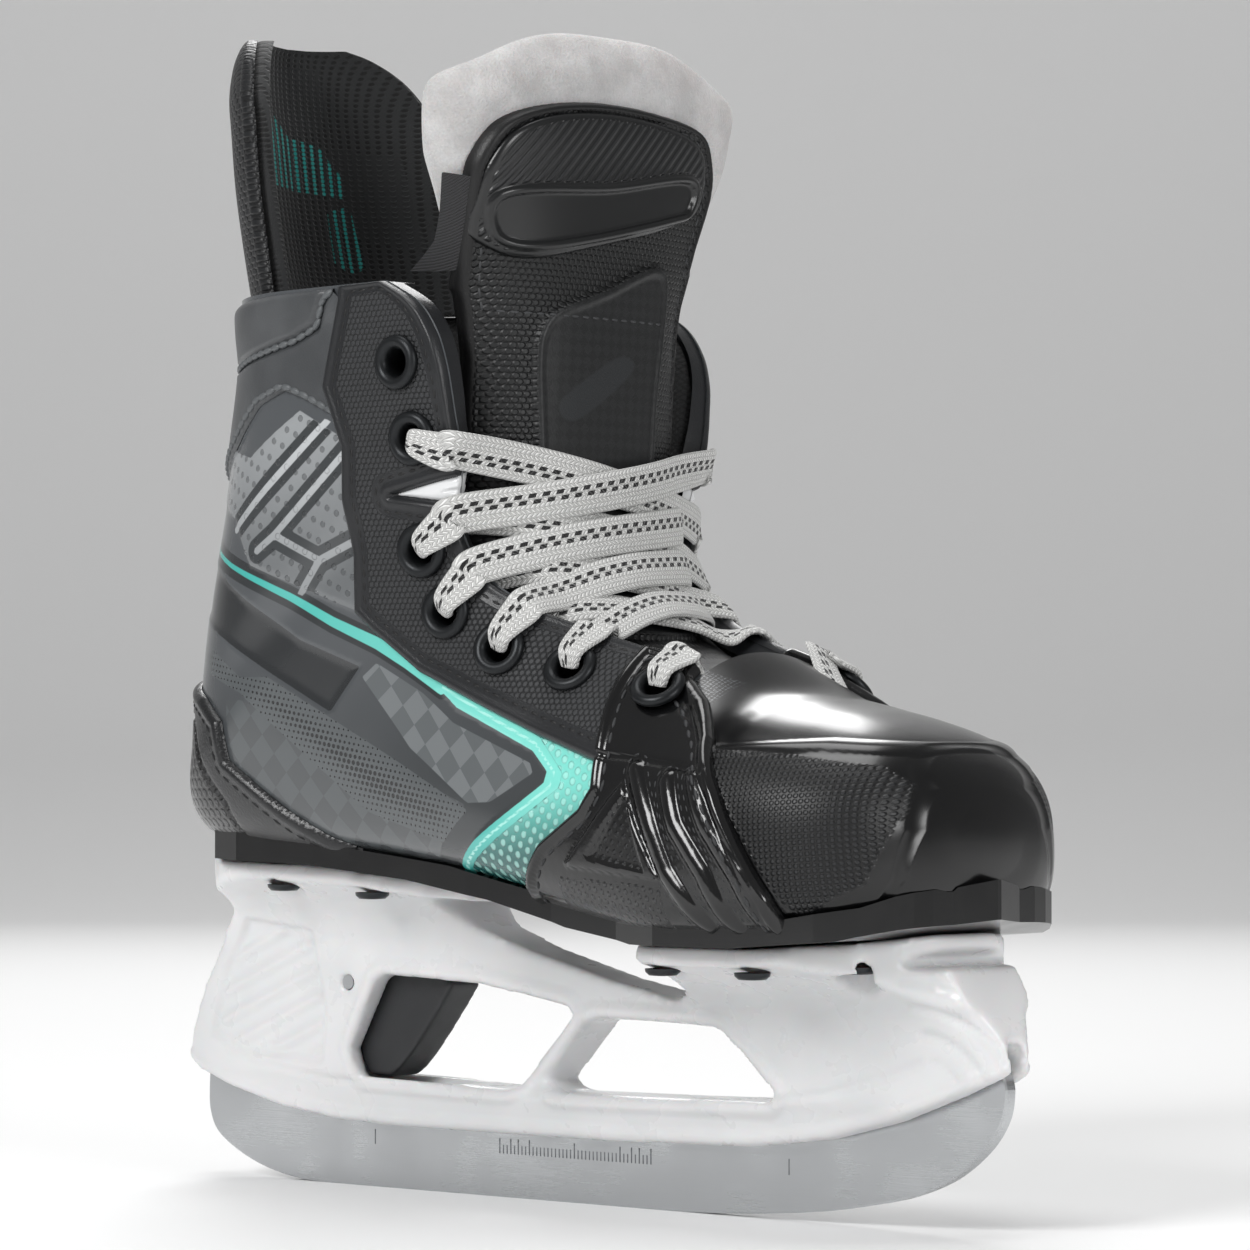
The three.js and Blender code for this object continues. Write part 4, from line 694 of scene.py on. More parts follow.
def guard_print():
    """Brushed knit lining of the tendon guard: charcoal, with plain blocks and teal blocks of small dashes."""
    paint = Paint("guard lining", "#1b1c1d", 0.95, Sheen_Weight=0.3)
    place = paint.place("yz")
    mesh = paint.ramp(paint.lattice(place, 1.5, 1.1), 0.28, 0.5)
    brick = paint.ramp(paint.lattice(place, 1.9, 0.9), 0.3, 0.5, 1.0, 0.0)
    # The low holes of the knit are painted near-black: painted shade in the hollows.
    colour = paint.mix(mesh, "#060606", "#232425")
    colour = paint.mix(paint.mask("plain"), colour, "#202122")
    colour = paint.mix(paint.math("MULTIPLY", paint.mask("teal"), brick), colour, "#1f8f8a")
    paint.put("Base Color", colour)
    paint.relief(mesh, paint.noise(0.4), mm=0.2, strength=0.7)
    return paint.material


def lace_weave(look):
    """Flat tubular lace: herringbone weave with two rows of black tracer dashes."""
    paint = Paint("lace", tuple(look.lace) + (1.0,), 0.92, Sheen_Weight=0.3, Sheen_Roughness=0.5)
    parts = paint.add("ShaderNodeSeparateXYZ", {0: paint.add("ShaderNodeTexCoord", out=2)}).node
    along, across = parts.outputs[0], parts.outputs[1]
    zig = paint.math("PINGPONG", across, 0.9)
    rib = paint.math("SINE", paint.math("MULTIPLY", paint.math("ADD", along, zig), 6.2))
    rib = paint.ramp(rib, -1.0, 1.0)
    wave = paint.math("SINE", paint.math("MULTIPLY", across, 3.5))
    wale = paint.ramp(paint.math("ABSOLUTE", wave), 0.0, 0.5)
    shade = paint.math("MULTIPLY", rib, wale)
    # The low grooves of the weave are painted grey and the ridges white: painted shade in the grooves.
    colour = paint.mix(shade, "#c4c4c2", tuple(look.lace) + (1.0,))
    rows = 0.0
    for centre, phase in ((-1.5, 0.0), (-0.3, 1.5)):
        near = paint.math("LESS_THAN", paint.math("ABSOLUTE", paint.math("SUBTRACT", across, centre)), 0.42)
        shifted = paint.math("ADD", paint.math("ADD", along, phase), paint.math("MULTIPLY", across, 0.6))
        on = paint.math("LESS_THAN", paint.math("FRACT", paint.math("DIVIDE", shifted, 3.0)), 0.55)
        rows = paint.math("MAXIMUM", paint.math("MULTIPLY", near, on), rows)
    paint.put("Base Color", paint.mix(rows, colour, "#161617"))
    paint.relief(shade, paint.math("MULTIPLY", paint.noise(0.3), 0.3), mm=0.35, strength=0.9)
    return paint.material


def tongue_skin_material():
    """Black tongue covering: fine honeycomb, with a smooth carbon-look guard panel in the middle."""
    paint = Paint("tongue cover", "#151617", 0.42, Specular_IOR_Level=0.45)
    place = paint.place("yz")
    cell = paint.ramp(paint.hexes(place, 1.35), 0.36, 0.75)
    guard = paint.mask("guard", 0.6, 0.2)
    check = paint.add("ShaderNodeTexChecker", {"Vector": paint.turned(place, 45), "Scale": 0.55}, out=1)
    carbon = paint.mix(check, "#161718", "#1e1f20")
    carbon = paint.mix(paint.mask("chevron", 0.0, 0.4), carbon, "#26282a")
    # The grooves between the raised honeycomb cells are painted darker: painted shade.
    colour = paint.mix(guard, paint.mix(cell, "#191a1b", "#0c0c0d"), carbon)
    edge = paint.mask("edge", 2.0, 0.15)
    paint.put("Base Color", paint.mix(edge, "#0d0d0e", colour))
    height = paint.math("MULTIPLY", paint.math("SUBTRACT", 1.0, cell), paint.math("SUBTRACT", 1.0, guard))
    paint.relief(paint.math("MULTIPLY", height, edge), paint.math("MULTIPLY", paint.noise(0.4), 0.3), mm=0.2)
    return paint.material


def badge_rubber():
    """Embossed rubbery panel: diagonal ribs above, a smooth blank plate below."""
    paint = Paint("tongue badge", "#131415", 0.28, Coat_Weight=0.2, Coat_Roughness=0.2)
    place = paint.turned(paint.place("yz"), 40)
    stripes = paint.add("ShaderNodeSeparateXYZ", {0: place}).node.outputs[0]
    rib = paint.ramp(paint.math("PINGPONG", stripes, 0.9), 0.2, 0.7)
    ribs = paint.math("MULTIPLY", rib, paint.mask("ribs", 0.3, 0.3))
    # The raised ribs are painted lighter than the ground between them: painted highlight.
    paint.put("Base Color", paint.mix(ribs, "#121314", "#1d1e20"))
    paint.relief(ribs, mm=0.5)
    return paint.material


def label_weave():
    """Woven size tab, left blank: silver satin with dark ends."""
    paint = Paint("label", "#a8a8a8", 0.7, Sheen_Weight=0.2)
    stripes = paint.add("ShaderNodeSeparateXYZ", {0: paint.turned(paint.place("yz"), 35)}).node.outputs[0]
    twill = paint.ramp(paint.math("PINGPONG", stripes, 0.25), 0.05, 0.2)
    # The raised twill lines are painted lighter and the low ones darker, also on the dark ends: painted light and
    # shade.
    colour = paint.mix(twill, "#8f8f8f", "#b6b6b6")
    ends = paint.mix(twill, "#151515", "#26262a")
    paint.put("Base Color", paint.mix(paint.mask("dark", 0.0, 0.15), colour, ends))
    paint.relief(twill, mm=0.12)
    return paint.material


def nylon():
    """Satin white glass-filled nylon of the blade holder, with a faint cool shade in its recesses."""
    paint = Paint("holder nylon", "#efeff0", 0.3, Subsurface_Weight=0.15, Subsurface_Scale=0.002)
    paint.put("Base Color", paint.mix(paint.ramp(paint.noise(30.0, 2.0), 0.35, 0.65), "#dadbdc", "#e3e3e4"))
    paint.put("Roughness", paint.ramp(paint.noise(8.0, 3.0), 0.3, 0.7, 0.25, 0.36))
    paint.relief(paint.noise(0.5, 2.0), mm=0.02, strength=0.4)
    return paint.material


# ---- outlines in side view ---------------------------------------------------------------------------
TEAL_LINE = [
    (-84, 134), (-60.8, 124.8), (-51, 121.2), (-43.8, 118.3), (-32.7, 113.2), (-21.5, 108.9),
    (-14, 105.2), (-5, 100.2),
]
CHEVRON_IN = [
    (-6.3, 100.7), (-0.8, 96.4), (19.9, 88.1), (24.1, 84.3), (23.5, 82.1), (3.6, 71.2), (-4.2, 66.1),
    (-8, 62),
]
CHEVRON_OUT = [
    (-3.7, 100.3), (21.3, 90.7), (28.4, 83.9), (27.7, 81.2), (7, 69.9), (-1.4, 65.6), (-4, 61),
]
CHEVRON_MID = [
    (-4.6, 100.2), (10, 93.8), (20.6, 89.4), (26.2, 84.1), (25.6, 81.6), (5.3, 70.5), (-2.8, 65.8),
]
TEAL_FIELD = [
    (-4, 61), (-1.4, 65.6), (7, 69.9), (27.7, 81.2), (28.4, 83.9), (21.3, 90.7), (34, 92), (42, 84),
    (40, 70), (20, 54),
]
CARBON = [
    (-25.7, 102.4), (-21.8, 105.1), (-10, 99.2), (-1.7, 93.4), (19.3, 85.8), (20.1, 83.9), (8.4, 78.4),
    (2.1, 78.2), (-13.5, 88.7),
]
PERFORATED = [
    (-95, 124), (-59.1, 102.7), (-51, 102.7), (2.1, 76.8), (-6.1, 70.5), (-25.6, 76.1), (-59.2, 99.6),
    (-95, 112),
]
LOWER = [(-64, 98.2), (-59.2, 98.2), (-21.4, 86.3), (1.6, 77.8), (-9.8, 67.4), (-35.8, 66), (-64, 70)]
BAND = [
    (-95, 137), (-63.5, 122.1), (-41.7, 109.8), (-26.2, 104.4), (-30.4, 100), (-34.4, 95.7),
    (-63.7, 110.2), (-95, 124),
]
SILVER = [
    (-90, 147), (-59.6, 133.9), (-54.4, 124.8), (-33.2, 117.5), (-24, 114.5), (-24, 147),
    (-38.9, 154.6), (-54.4, 146), (-72, 150), (-90, 160),
]
BARS = [
    [(-59.4, 131.9), (-30.7, 152.8)], [(-46.9, 130.5), (-25, 147.5)],
    [(-41.2, 118.6), (-35.3, 125.3), (-24, 129.5)], [(-52, 127.5), (-46.9, 130.5), (-35.3, 125.3)],
]
FACING = [
    (-27.3, 190), (-27.3, 175.7), (-31.7, 158.7), (-29.9, 154.5), (-27, 146.6), (-27.6, 136.7),
    (-25.7, 125.7), (-26.1, 114.8), (-21.4, 110.9), (-10, 103.1), (7.9, 95.8), (21.3, 90.7),
    (36.8, 85.8), (80, 72), (80, 190),
]
COUNTER = [
    (-120, 104), (-86, 103.5), (-72.9, 98.9), (-65.4, 94.2), (-63.8, 86.3), (-57.7, 82.4),
    (-48.7, 76.4), (-39.5, 71.2), (-31, 68.4), (-24, 60), (-120, 58),
]
COUNTER_CORNER = [
    (-120, 96), (-78, 95), (-71.5, 84.3), (-66.6, 78.3), (-66.3, 73.5), (-64, 58), (-120, 58),
]
COLLAR_EDGE = [
    (-120, 139), (-75, 141), (-60.8, 148.9), (-50.9, 156.1), (-42.8, 158.6), (-37.8, 156.9),
    (-27, 152), (-20, 152), (-20, 200), (-120, 200),
]
COLLAR_SEAM = [
    (-78, 163.5), (-62, 164.6), (-48.5, 166.6), (-39.7, 168.2), (-33.5, 170.6), (-30.8, 176.5),
]
STRAP = [
    (34.6, 118), (34.8, 98.5), (36.8, 86.9), (37.3, 81.2), (34.7, 77.7), (23.5, 71.2), (15, 62.5),
    (12, 46), (90, 46), (81.2, 56.8), (79.7, 62.2), (74.6, 70.4), (69, 80.1), (62.2, 89.8),
    (54.5, 96.6), (48, 101), (45, 118),
]
STRAP_SEAM = [(36.8, 86.9), (45.6, 86.2), (64.5, 83.5)]
TRIANGLE = [(45.9, 82), (30.8, 66.9), (57, 64.6)]
TRIANGLE_IN = [(47.3, 79.9), (37.7, 68.5), (53.2, 66)]
STUDDED = [(28.4, 65.5), (56.9, 63.7), (56.9, 52), (24, 52)]
RIBS = [
    [(47.9, 84.2), (53.1, 75.8), (58, 66), (64.9, 57.8)],
    [(56.5, 82), (60, 74.4), (66.3, 66.2), (71.5, 56.6)],
    [(62.8, 82.8), (67.2, 74.5), (73.8, 65.6), (78.6, 56.8)],
]
TOE_PANEL = [
    (62, 87.9), (78.7, 87.3), (93.9, 85), (97.7, 82.1), (98.4, 77.3), (94.5, 64.3), (83.4, 58.1),
    (75.4, 70.4), (66, 84),
]
TOE_RIDGE = [(60, 88.0), (83.3, 89.1), (95.3, 88.3)]
TOE_ARC = [(94.6, 89), (99, 81), (99.4, 73.8), (98, 64.9), (94, 57)]
NOTCH = [(-15, 137.4), (8, 134.2), (8, 142.4)]
SOLE_LINE = [
    (-112, 67.4), (-73, 66.2), (-47, 65.6), (-20, 63.1), (2, 59.7), (22, 54.9), (42, 52.3), (68, 52.3),
    (90, 54), (104, 57.6),
]
OUTSOLE_TOP = [
    (-112, 74), (-73, 72.4), (-43, 69.8), (-8, 66), (16, 61), (36, 57.6), (58, 56.6), (77, 57.2),
    (93.5, 60), (104, 65),
]
RAIL_LINE = [
    (-104, 23.4), (-100.4, 21.6), (-92, 18.4), (-78, 15), (-62, 13), (-45, 12.6), (20, 12.7),
    (50, 13.6), (68, 16), (84, 20), (98, 25.2), (108, 29.4),
]
RUNNER_BOTTOM = [
    (-103.6, 22.4), (-103.9, 17.5), (-103.6, 13.2), (-101.6, 9.2), (-96.7, 5.9), (-89, 2.8),
    (-80, 0.8), (-70, 0.02), (-40, 0), (0, 0), (28, 0.02), (46, 0.8), (62.5, 2.2), (74, 4), (84, 6.2),
    (93.5, 10), (101, 15.6), (105, 21.2), (106, 26.5), (105.2, 29.6),
]
MIDDLE_WINDOW = [
    (-55.5, 28), (-53.5, 22.8), (-14.5, 21.8), (-11.5, 23), (2.5, 36.5), (1, 38.3), (-22, 42),
    (-45, 43.3), (-47.5, 42),
]
FRONT_WINDOW = [
    (-4, 24), (-1, 21.6), (54, 22.4), (56, 24.4), (44.5, 35.2), (42, 36), (9, 36.3), (6, 35.2),
]
REAR_PANEL = [(-96, 30), (-88.5, 26), (-64, 25), (-62, 35), (-65, 52), (-83, 54), (-91, 44)]
# From the sole down to the rivet heads: the gap over the holder, its flange and the step under it.
HOLDER_GAP, FLANGE, RIVET_STEP = 0.3, 3.6, 0.8
RIVETS = ((-63.6, 18.6), (-38.6, 18.6), (42.7, 23.6), (66.6, 26), (85, 18))
GUARD_ROWS = np.array([
    (178.6, -78.8, 28, 30), (190, -82, 29, 29.6), (202, -84.6, 29, 29.2), (214, -86.4, 29, 28.6),
    (221, -87.6, 28, 27.4), (227.5, -88.2, 24, 23.6), (231.6, -88, 18, 19), (233.7, -87.4, 12, 15),
])
GUARD_ARC = 75
TEAL_PATCHES = (
    [(-20, 205), (-7, 205), (-3, 223), (-15, 223)], [(-1, 204), (12, 203), (9, 215), (-3, 215)],
    [(3, 188), (13, 187), (12, 201), (2, 202)],
)
PLAIN_PATCHES = (
    [(-27, 188), (-14, 186), (-12, 201), (-25, 203)], [(8, 196), (22, 192), (20, 212), (7, 214)],
    [(-6, 216), (10, 216), (8, 230), (-8, 230)],
)
# Outlines on the tongue, as (station, share of the half width).
COVER = [
    (-0.5, -0.94), (8, -0.97), (9.14, -0.98), (10.55, -0.92), (11.22, -0.85), (11.85, -0.7),
    (12.21, -0.46), (12.36, -0.14), (12.3, 0.2), (12.07, 0.51), (11.51, 0.64), (10.9, 0.71),
    (9.82, 0.74), (8.68, 0.8), (-0.5, 0.94),
]
BADGE = [
    (10.11, -0.92), (9.8, -0.9), (9.59, -0.69), (9.85, -0.23), (10.26, 0.32), (10.62, 0.57),
    (11.4, 0.56), (11.85, 0.44), (12.08, 0.18), (12.14, -0.14), (12, -0.44), (11.66, -0.66),
    (11.1, -0.8), (10.5, -0.88),
]
BADGE_BAND = [
    (10.0, -0.82), (9.8, -0.66), (10.03, -0.2), (10.42, 0.34), (10.62, 0.5), (11.15, 0.44),
    (10.85, -0.1), (10.6, -0.74),
]
TONGUE_GUARD = [
    (9.7, 0.35), (9.25, -0.11), (8.89, -0.48), (8.54, -0.61), (7.95, -0.65), (6.72, -0.63), (5, -0.6),
    (3, -0.56), (3, 0.5), (6.9, 0.46), (9, 0.5),
]
TONGUE_CHEVRON = [(7.39, -0.46), (8.14, 0.02), (7.93, 0.17), (7.09, -0.33)]
LABEL = [(9.3, -1.0), (9.45, -0.84), (10.75, -0.8), (10.8, -0.98)]
# A station and a half width of the tongue in mm.
TONGUE_MM = np.array((12.0, 36.0))


def rounded(outline, count=90):
    """A closed outline drawn smoothly through its points."""
    closed = list(outline[-2:]) + list(outline) + list(outline[:2])
    fine = smooth(np.asarray(closed, float), np.linspace(2, len(outline) + 2, count + 1))
    return fine[:-1]


def read(table, x):
    """The height of a line, given as (x, z) points, at x."""
    points = np.asarray(table, float)
    return np.interp(x, points[:, 0], points[:, 1])


def over_sole(sheet):
    """Height of a sheet's points over the outsole's top."""
    return sheet.points[:, 2] - read(OUTSOLE_TOP, sheet.points[:, 0]) - 0.1


# ---- pieces --------------------------------------------------------------------------------------------
def panel(u0, u1, rows, low, high, columns):
    """A sheet on the boot between two stations and two lengths round the section."""
    u = np.linspace(u0, u1, rows)
    s = np.stack([np.linspace(low(a), high(a), columns) for a in u])
    sheet = Sheet(*boot_grid(u, s))
    edges = np.array([edge_of(a) for a in u])
    rim = np.repeat(edges, columns) - np.abs(s.ravel())
    sheet.extra = np.stack([np.repeat(u, columns), s.ravel(), rim], -1)
    return sheet


def hole_field(sheet, radius=2.95):
    """Distance outside the eyelet holes."""
    near = np.full(len(sheet.points), 1e9)
    for u in EYELETS:
        for _, way in SIDES:
            centre = boot_at(u, way * (edge_of(u) - EYELET_BACKSET), 0)[0]
            near = np.minimum(near, np.linalg.norm(sheet.points - centre, axis=1) - radius)
    return near


def contour(sheet, field, offset):
    """Lines where a field of the sheet is zero, as (points, normals) laid at the sheet's offset."""
    place = sheet.points + sheet.normals * offset[:, None]
    points, normals, ends = {}, {}, {}
    for f in sheet.faces[(field[sheet.faces] > 0).any(1) & (field[sheet.faces] <= 0).any(1)]:
        cross = []
        for i, j in zip(f, np.roll(f, -1)):
            if (field[i] > 0) != (field[j] > 0):
                key, t = (min(i, j), max(i, j)), field[i] / (field[i] - field[j])
                points[key] = place[i] * (1 - t) + place[j] * t
                normals[key] = sheet.normals[i] * (1 - t) + sheet.normals[j] * t
                cross.append(key)
        for a, b in (cross, cross[::-1]):
            ends.setdefault(a, []).append(b)
    lines, used = [], set()
    for start in sorted(ends, key=lambda k: len(ends[k])):
        if start in used:
            continue
        line, at = [start], start
        used.add(start)
        while True:
            after = [k for k in ends[at] if k not in used]
            if not after:
                break
            at = after[0]
            used.add(at)
            line.append(at)
        if len(line) > 4:
            lines.append((np.array([points[k] for k in line]), np.array([normals[k] for k in line])))
    return lines


def seam(name, sheet, field, offset, material, length=2.3, width=0.8, pitch=3.2, sink=0.1):
    """Stitches along the zero lines of a field."""
    at, out, way = [], [], []
    for points, normals in contour(sheet, field, offset):
        run = np.r_[0, np.cumsum(np.linalg.norm(np.diff(points, axis=0), axis=1))]
        if run[-1] < 2 * pitch:
            continue
        places = np.arange(pitch / 2, run[-1], pitch)
        row = np.stack([np.interp(places, run, points[:, k]) for k in range(3)], -1)
        up = unit(np.stack([np.interp(places, run, normals[:, k]) for k in range(3)], -1))
        at.append(row - up * sink)
        out.append(up)
        way.append(unit(np.gradient(row, axis=0)))
    rows = (np.concatenate(q) for q in (at, out, way))
    made = repeat(name, ellipsoid(length, width, width * 0.8), *rows, material)
    return settle(made, "boot", "overlay")


def weld(obj, distance=0.05):
    """Join the points of a piece that lie on each other."""
    work = bmesh.new()
    work.from_mesh(obj.data)
    bmesh.ops.remove_doubles(work, verts=work.verts, dist=distance * MM)
    bmesh.ops.recalc_face_normals(work, faces=work.faces)
    work.to_mesh(obj.data)
    work.free()
    obj.data.shade_smooth()
    return obj


def build_quarter(look):
    """The printed quarter, all round the boot behind the toe cap."""
    sheet = panel(7.3, COLLAR, 250, lambda u: -edge_of(u), edge_of, 281)
    sheet.trim(hole_field(sheet))
    flat = sheet.flat()
    chevron, from_teal = inside(flat, CHEVRON_IN + CHEVRON_OUT[::-1]), from_line(flat, TEAL_LINE)
    from_bars = np.minimum.reduce([from_line(flat, bar) for bar in BARS])
    teal_width = 0.5 + 0.9 * np.clip((flat[:, 0] + 60) / 50, 0, 1)
    fields = {
        "lower": inside(flat, LOWER), "carbon": inside(flat, CARBON), "perforated": inside(flat, PERFORATED),
        "band": inside(flat, BAND), "border": 2.3 - from_teal, "silver": inside(flat, SILVER),
        "bars": 0.75 - from_bars, "gaps": np.minimum(0.9 - abs(from_bars - 1.65), inside(flat, SILVER)),
        "field": inside(flat, TEAL_FIELD), "shine": 0.3 - from_line(flat, CHEVRON_MID),
        "teal": np.maximum(chevron, teal_width - from_teal),
    }
    fields["bars"] = np.minimum(fields["bars"], fields["silver"] + 1.5)
    lift = 0.35 * swell(chevron + 0.3, 1.2) + 0.25 * swell(fields["silver"], 1.0)
    lift -= 0.25 * swell(fields["band"], 1.5)
    made = add_sheet("quarter", sheet, lift, quarter_print(look), fields)
    settle(made, "boot", "quarter", "shell")


def build_toe(look):
    """The toe cap, its nose closed by a shallow dome."""
    sheet = panel(0, 7.8, 190, lambda u: -total_of(u), total_of, 241)
    flat = sheet.flat()
    panel_field = inside(flat, TOE_PANEL)
    lift = 0.5 * bump(from_line(flat, TOE_RIDGE), 0, 1.3) - 0.35 * bump(from_line(flat, TOE_ARC), 0, 0.7)
    lift -= 0.18 * swell(panel_field, 0.8)
    made = add_sheet("toe_cap_skin", sheet, lift, toe_gloss(), {"panel": panel_field})
    rows = []
    tip = boot_grid(np.array([0.0]), np.linspace(-total_of(0), total_of(0), 241)[None])[0][0]
    middle = np.array((101.1, 0, 70.6))
    for a in np.linspace(0, np.pi / 2, 12):
        row = middle + (tip - middle) * max(np.cos(a), 0.002)
        row[:, 0] += 0.6 * np.sin(a) ** 2
        rows.append(row)
    nose = loft("nose", rows, made.data.materials[0], closed=True)
    mark(nose, "panel", np.full(len(nose.data.vertices), -9.0))
    joined = weld(join("toe_cap_skin", [made, nose]))
    settle(joined, "boot", "toe_cap", "toe_cap")


def strap_top(u):
    """The strap's upper edge: the lacing edge, carried on over the toe cap."""
    if u >= 8:
        return edge_of(u)
    return total_of(u) - (total_of(8) - edge_of(8)) * (1 - 0.12 * (8 - u))


def build_strap(look):
    """The moulded straps beside the toe cap: raised triangle, ribs, rolled edge and stitching."""
    gloss, thread = strap_gloss(), moulded("strap thread", "#2b2c2e", 0.5)
    for word, side in SIDES:
        sheet = panel(
            3.8, 11.8, 240,
            lambda u: side * 24.0, lambda u: side * strap_top(u), 170,
        )
        outline = inside(sheet.flat(), STRAP)
        field = np.minimum(outline, over_sole(sheet))
        sheet.extra[:, 2] = np.array([strap_top(u) for u in sheet.extra[:, 0]]) - np.abs(sheet.extra[:, 1])
        sheet.trim(np.minimum(field, hole_field(sheet)))
        flat, rim = sheet.flat(), inside(sheet.flat(), STRAP)
        edge = np.minimum(rim, sheet.extra[:, 2])
        lift = 0.25 + 1.5 * swell(edge, 1.0) + look.strap_bead / MM * bump(edge, 1.3, 1.15)
        lift -= 2.6 * (1 - swell(sheet.extra[:, 2], 1.2))
        triangle = inside(flat, TRIANGLE)
        lift += 0.75 * swell(triangle, 1.0) - 0.6 * swell(inside(flat, TRIANGLE_IN), 0.8)
        studded = np.maximum(inside(flat, TRIANGLE_IN), inside(flat, STUDDED))
        for rib in RIBS:
            lift += 0.9 * bump(from_line(flat, rib), 0, 1.9)
        lift -= 0.5 * bump(from_line(flat, STRAP_SEAM), 0, 0.8)
        made = add_sheet(f"toe_strap_{word}", sheet, lift, gloss, {"studs": studded})
        settle(made, "boot", "strap", f"strap_{word}")
        seam(f"strap_stitches_{word}", sheet, edge - 3.4, lift, thread, sink=0.0)
        ribs = np.minimum.reduce([from_line(flat, rib) for rib in RIBS])
        seam(f"rib_stitches_{word}", sheet, np.minimum(2.6 - ribs, edge - 4), lift, thread, 1.4, 0.5, 2.2)


def build_facing(look):
    """The eyelet facings with their rolled edges and stitching, and the white wedges in the notches."""
    skin = dimpled("facing", "#333436", "#1a1b1c", 1.25, 0.55, masked=("edge", 4.3), edge_dark="#252628")
    thread = moulded("facing thread", "#0c0c0d", 0.55)
    for word, side in SIDES:
        sheet = panel(8.0, COLLAR, 330, lambda u: side * (edge_of(u) - 38), lambda u: side * edge_of(u), 120)
        flat = sheet.flat()
        outline = np.minimum(inside(flat, FACING), 0.35 - inside(flat, NOTCH))
        outline = np.minimum(outline, 1.5 - inside(flat, STRAP))
        sheet.trim(np.minimum(outline, hole_field(sheet)))
        flat, rim = sheet.flat(), sheet.extra[:, 2]
        notch = -inside(flat, NOTCH)
        edge = np.minimum.reduce([inside(flat, FACING), notch, rim, (COLLAR - sheet.extra[:, 0]) * 9])
        lift = 0.3 + 1.45 * swell(edge, 1.6) + 0.3 * bump(edge, 1.2, 1.2)
        lift -= 4.2 * (1 - swell(rim, 1.3)) + 4.2 * (1 - swell((COLLAR - sheet.extra[:, 0]) * 9, 1.6))
        made = add_sheet(f"eyelet_facing_{word}", sheet, lift, skin, {"edge": edge})
        settle(made, "boot", "facing", f"facing_{word}")
        seam(f"facing_stitches_{word}", sheet, edge - 3.3, lift, thread, 1.9, 0.75, 2.6)
        wedge = panel(13, 18, 120, lambda u: side * (edge_of(u) - 18), lambda u: side * edge_of(u), 90)
        wedge.trim(inside(wedge.flat(), NOTCH) + 0.2)
        field, out = inside(wedge.flat(), NOTCH), wedge.extra[:, 2]
        lift = 0.2 + 0.9 * swell(field, 1.6) - 0.5 * swell(field - 1.9, 0.6) - 3.0 * (1 - swell(out, 1.2))
        white = moulded(f"notch gloss {word}", "#e6e7e8", 0.12, Coat_Weight=0.4)
        made = add_sheet(f"notch_{word}", wedge, lift, white)
        settle(made, "boot", "notch", f"notch_insert_{word}")


def build_counter(look):
    """The heel counter and its stitching."""
    thread = moulded("counter thread", "#08080a", 0.6)
    sheet = panel(10.5, 19.2, 230, lambda u: -78.0, lambda u: 78.0, 240)
    sheet.trim(np.minimum(inside(sheet.flat(), COUNTER), over_sole(sheet)))
    edge, corner = inside(sheet.flat(), COUNTER), inside(sheet.flat(), COUNTER_CORNER)
    lift = 0.15 + 1.35 * swell(edge, 1.3) + 0.35 * bump(edge, 1.3, 1.3) - 0.45 * bump(corner, 0, 0.8)
    made = add_sheet("heel_counter_skin", sheet, lift, counter_skin(), {"corner": corner})
    settle(made, "boot", "overlay", "heel_counter")
    seam("counter_stitches", sheet, edge - 3.2, lift, thread, 2.2, 0.75, 3.0)


def build_collar(look):
    """The padded collar band and its two rope seams."""
    leather, rope = collar_leather(), moulded("rope thread", "#5b5e60", 0.45)
    sheet = panel(17.6, COLLAR, 150, lambda u: -edge_of(u) + 15, lambda u: edge_of(u) - 15, 320)
    flat = sheet.flat()
    field = np.minimum(inside(flat, COLLAR_EDGE), 1.2 - inside(flat, FACING))
    sheet.trim(field)
    edge, top = inside(sheet.flat(), COLLAR_EDGE), (COLLAR - sheet.extra[:, 0]) * 15
    lift = 0.1 + 1.1 * swell(edge, 1.4) + 0.5 * np.sin(np.clip(top / 14, 0, 1) * np.pi)
    lift -= 0.9 * bump(from_line(sheet.flat(), COLLAR_SEAM), 0, 1.5) + 6.5 * (1 - swell(top, 4.5))
    made = add_sheet("collar", sheet, lift, leather)
    settle(made, "boot", "collar", "collar_panel")
    flat = sheet.flat()
    above = np.where(flat[:, 1] > read(COLLAR_SEAM, flat[:, 0]), 1, -1)
    upper = 0.01 + above * from_line(flat, COLLAR_SEAM)
    seam("collar_rope_upper", sheet, upper, lift + 0.55, rope, 3.0, 1.5, 2.6)
    seam("collar_rope_lower", sheet, edge - 1.0, lift, rope, 3.0, 1.5, 2.6)


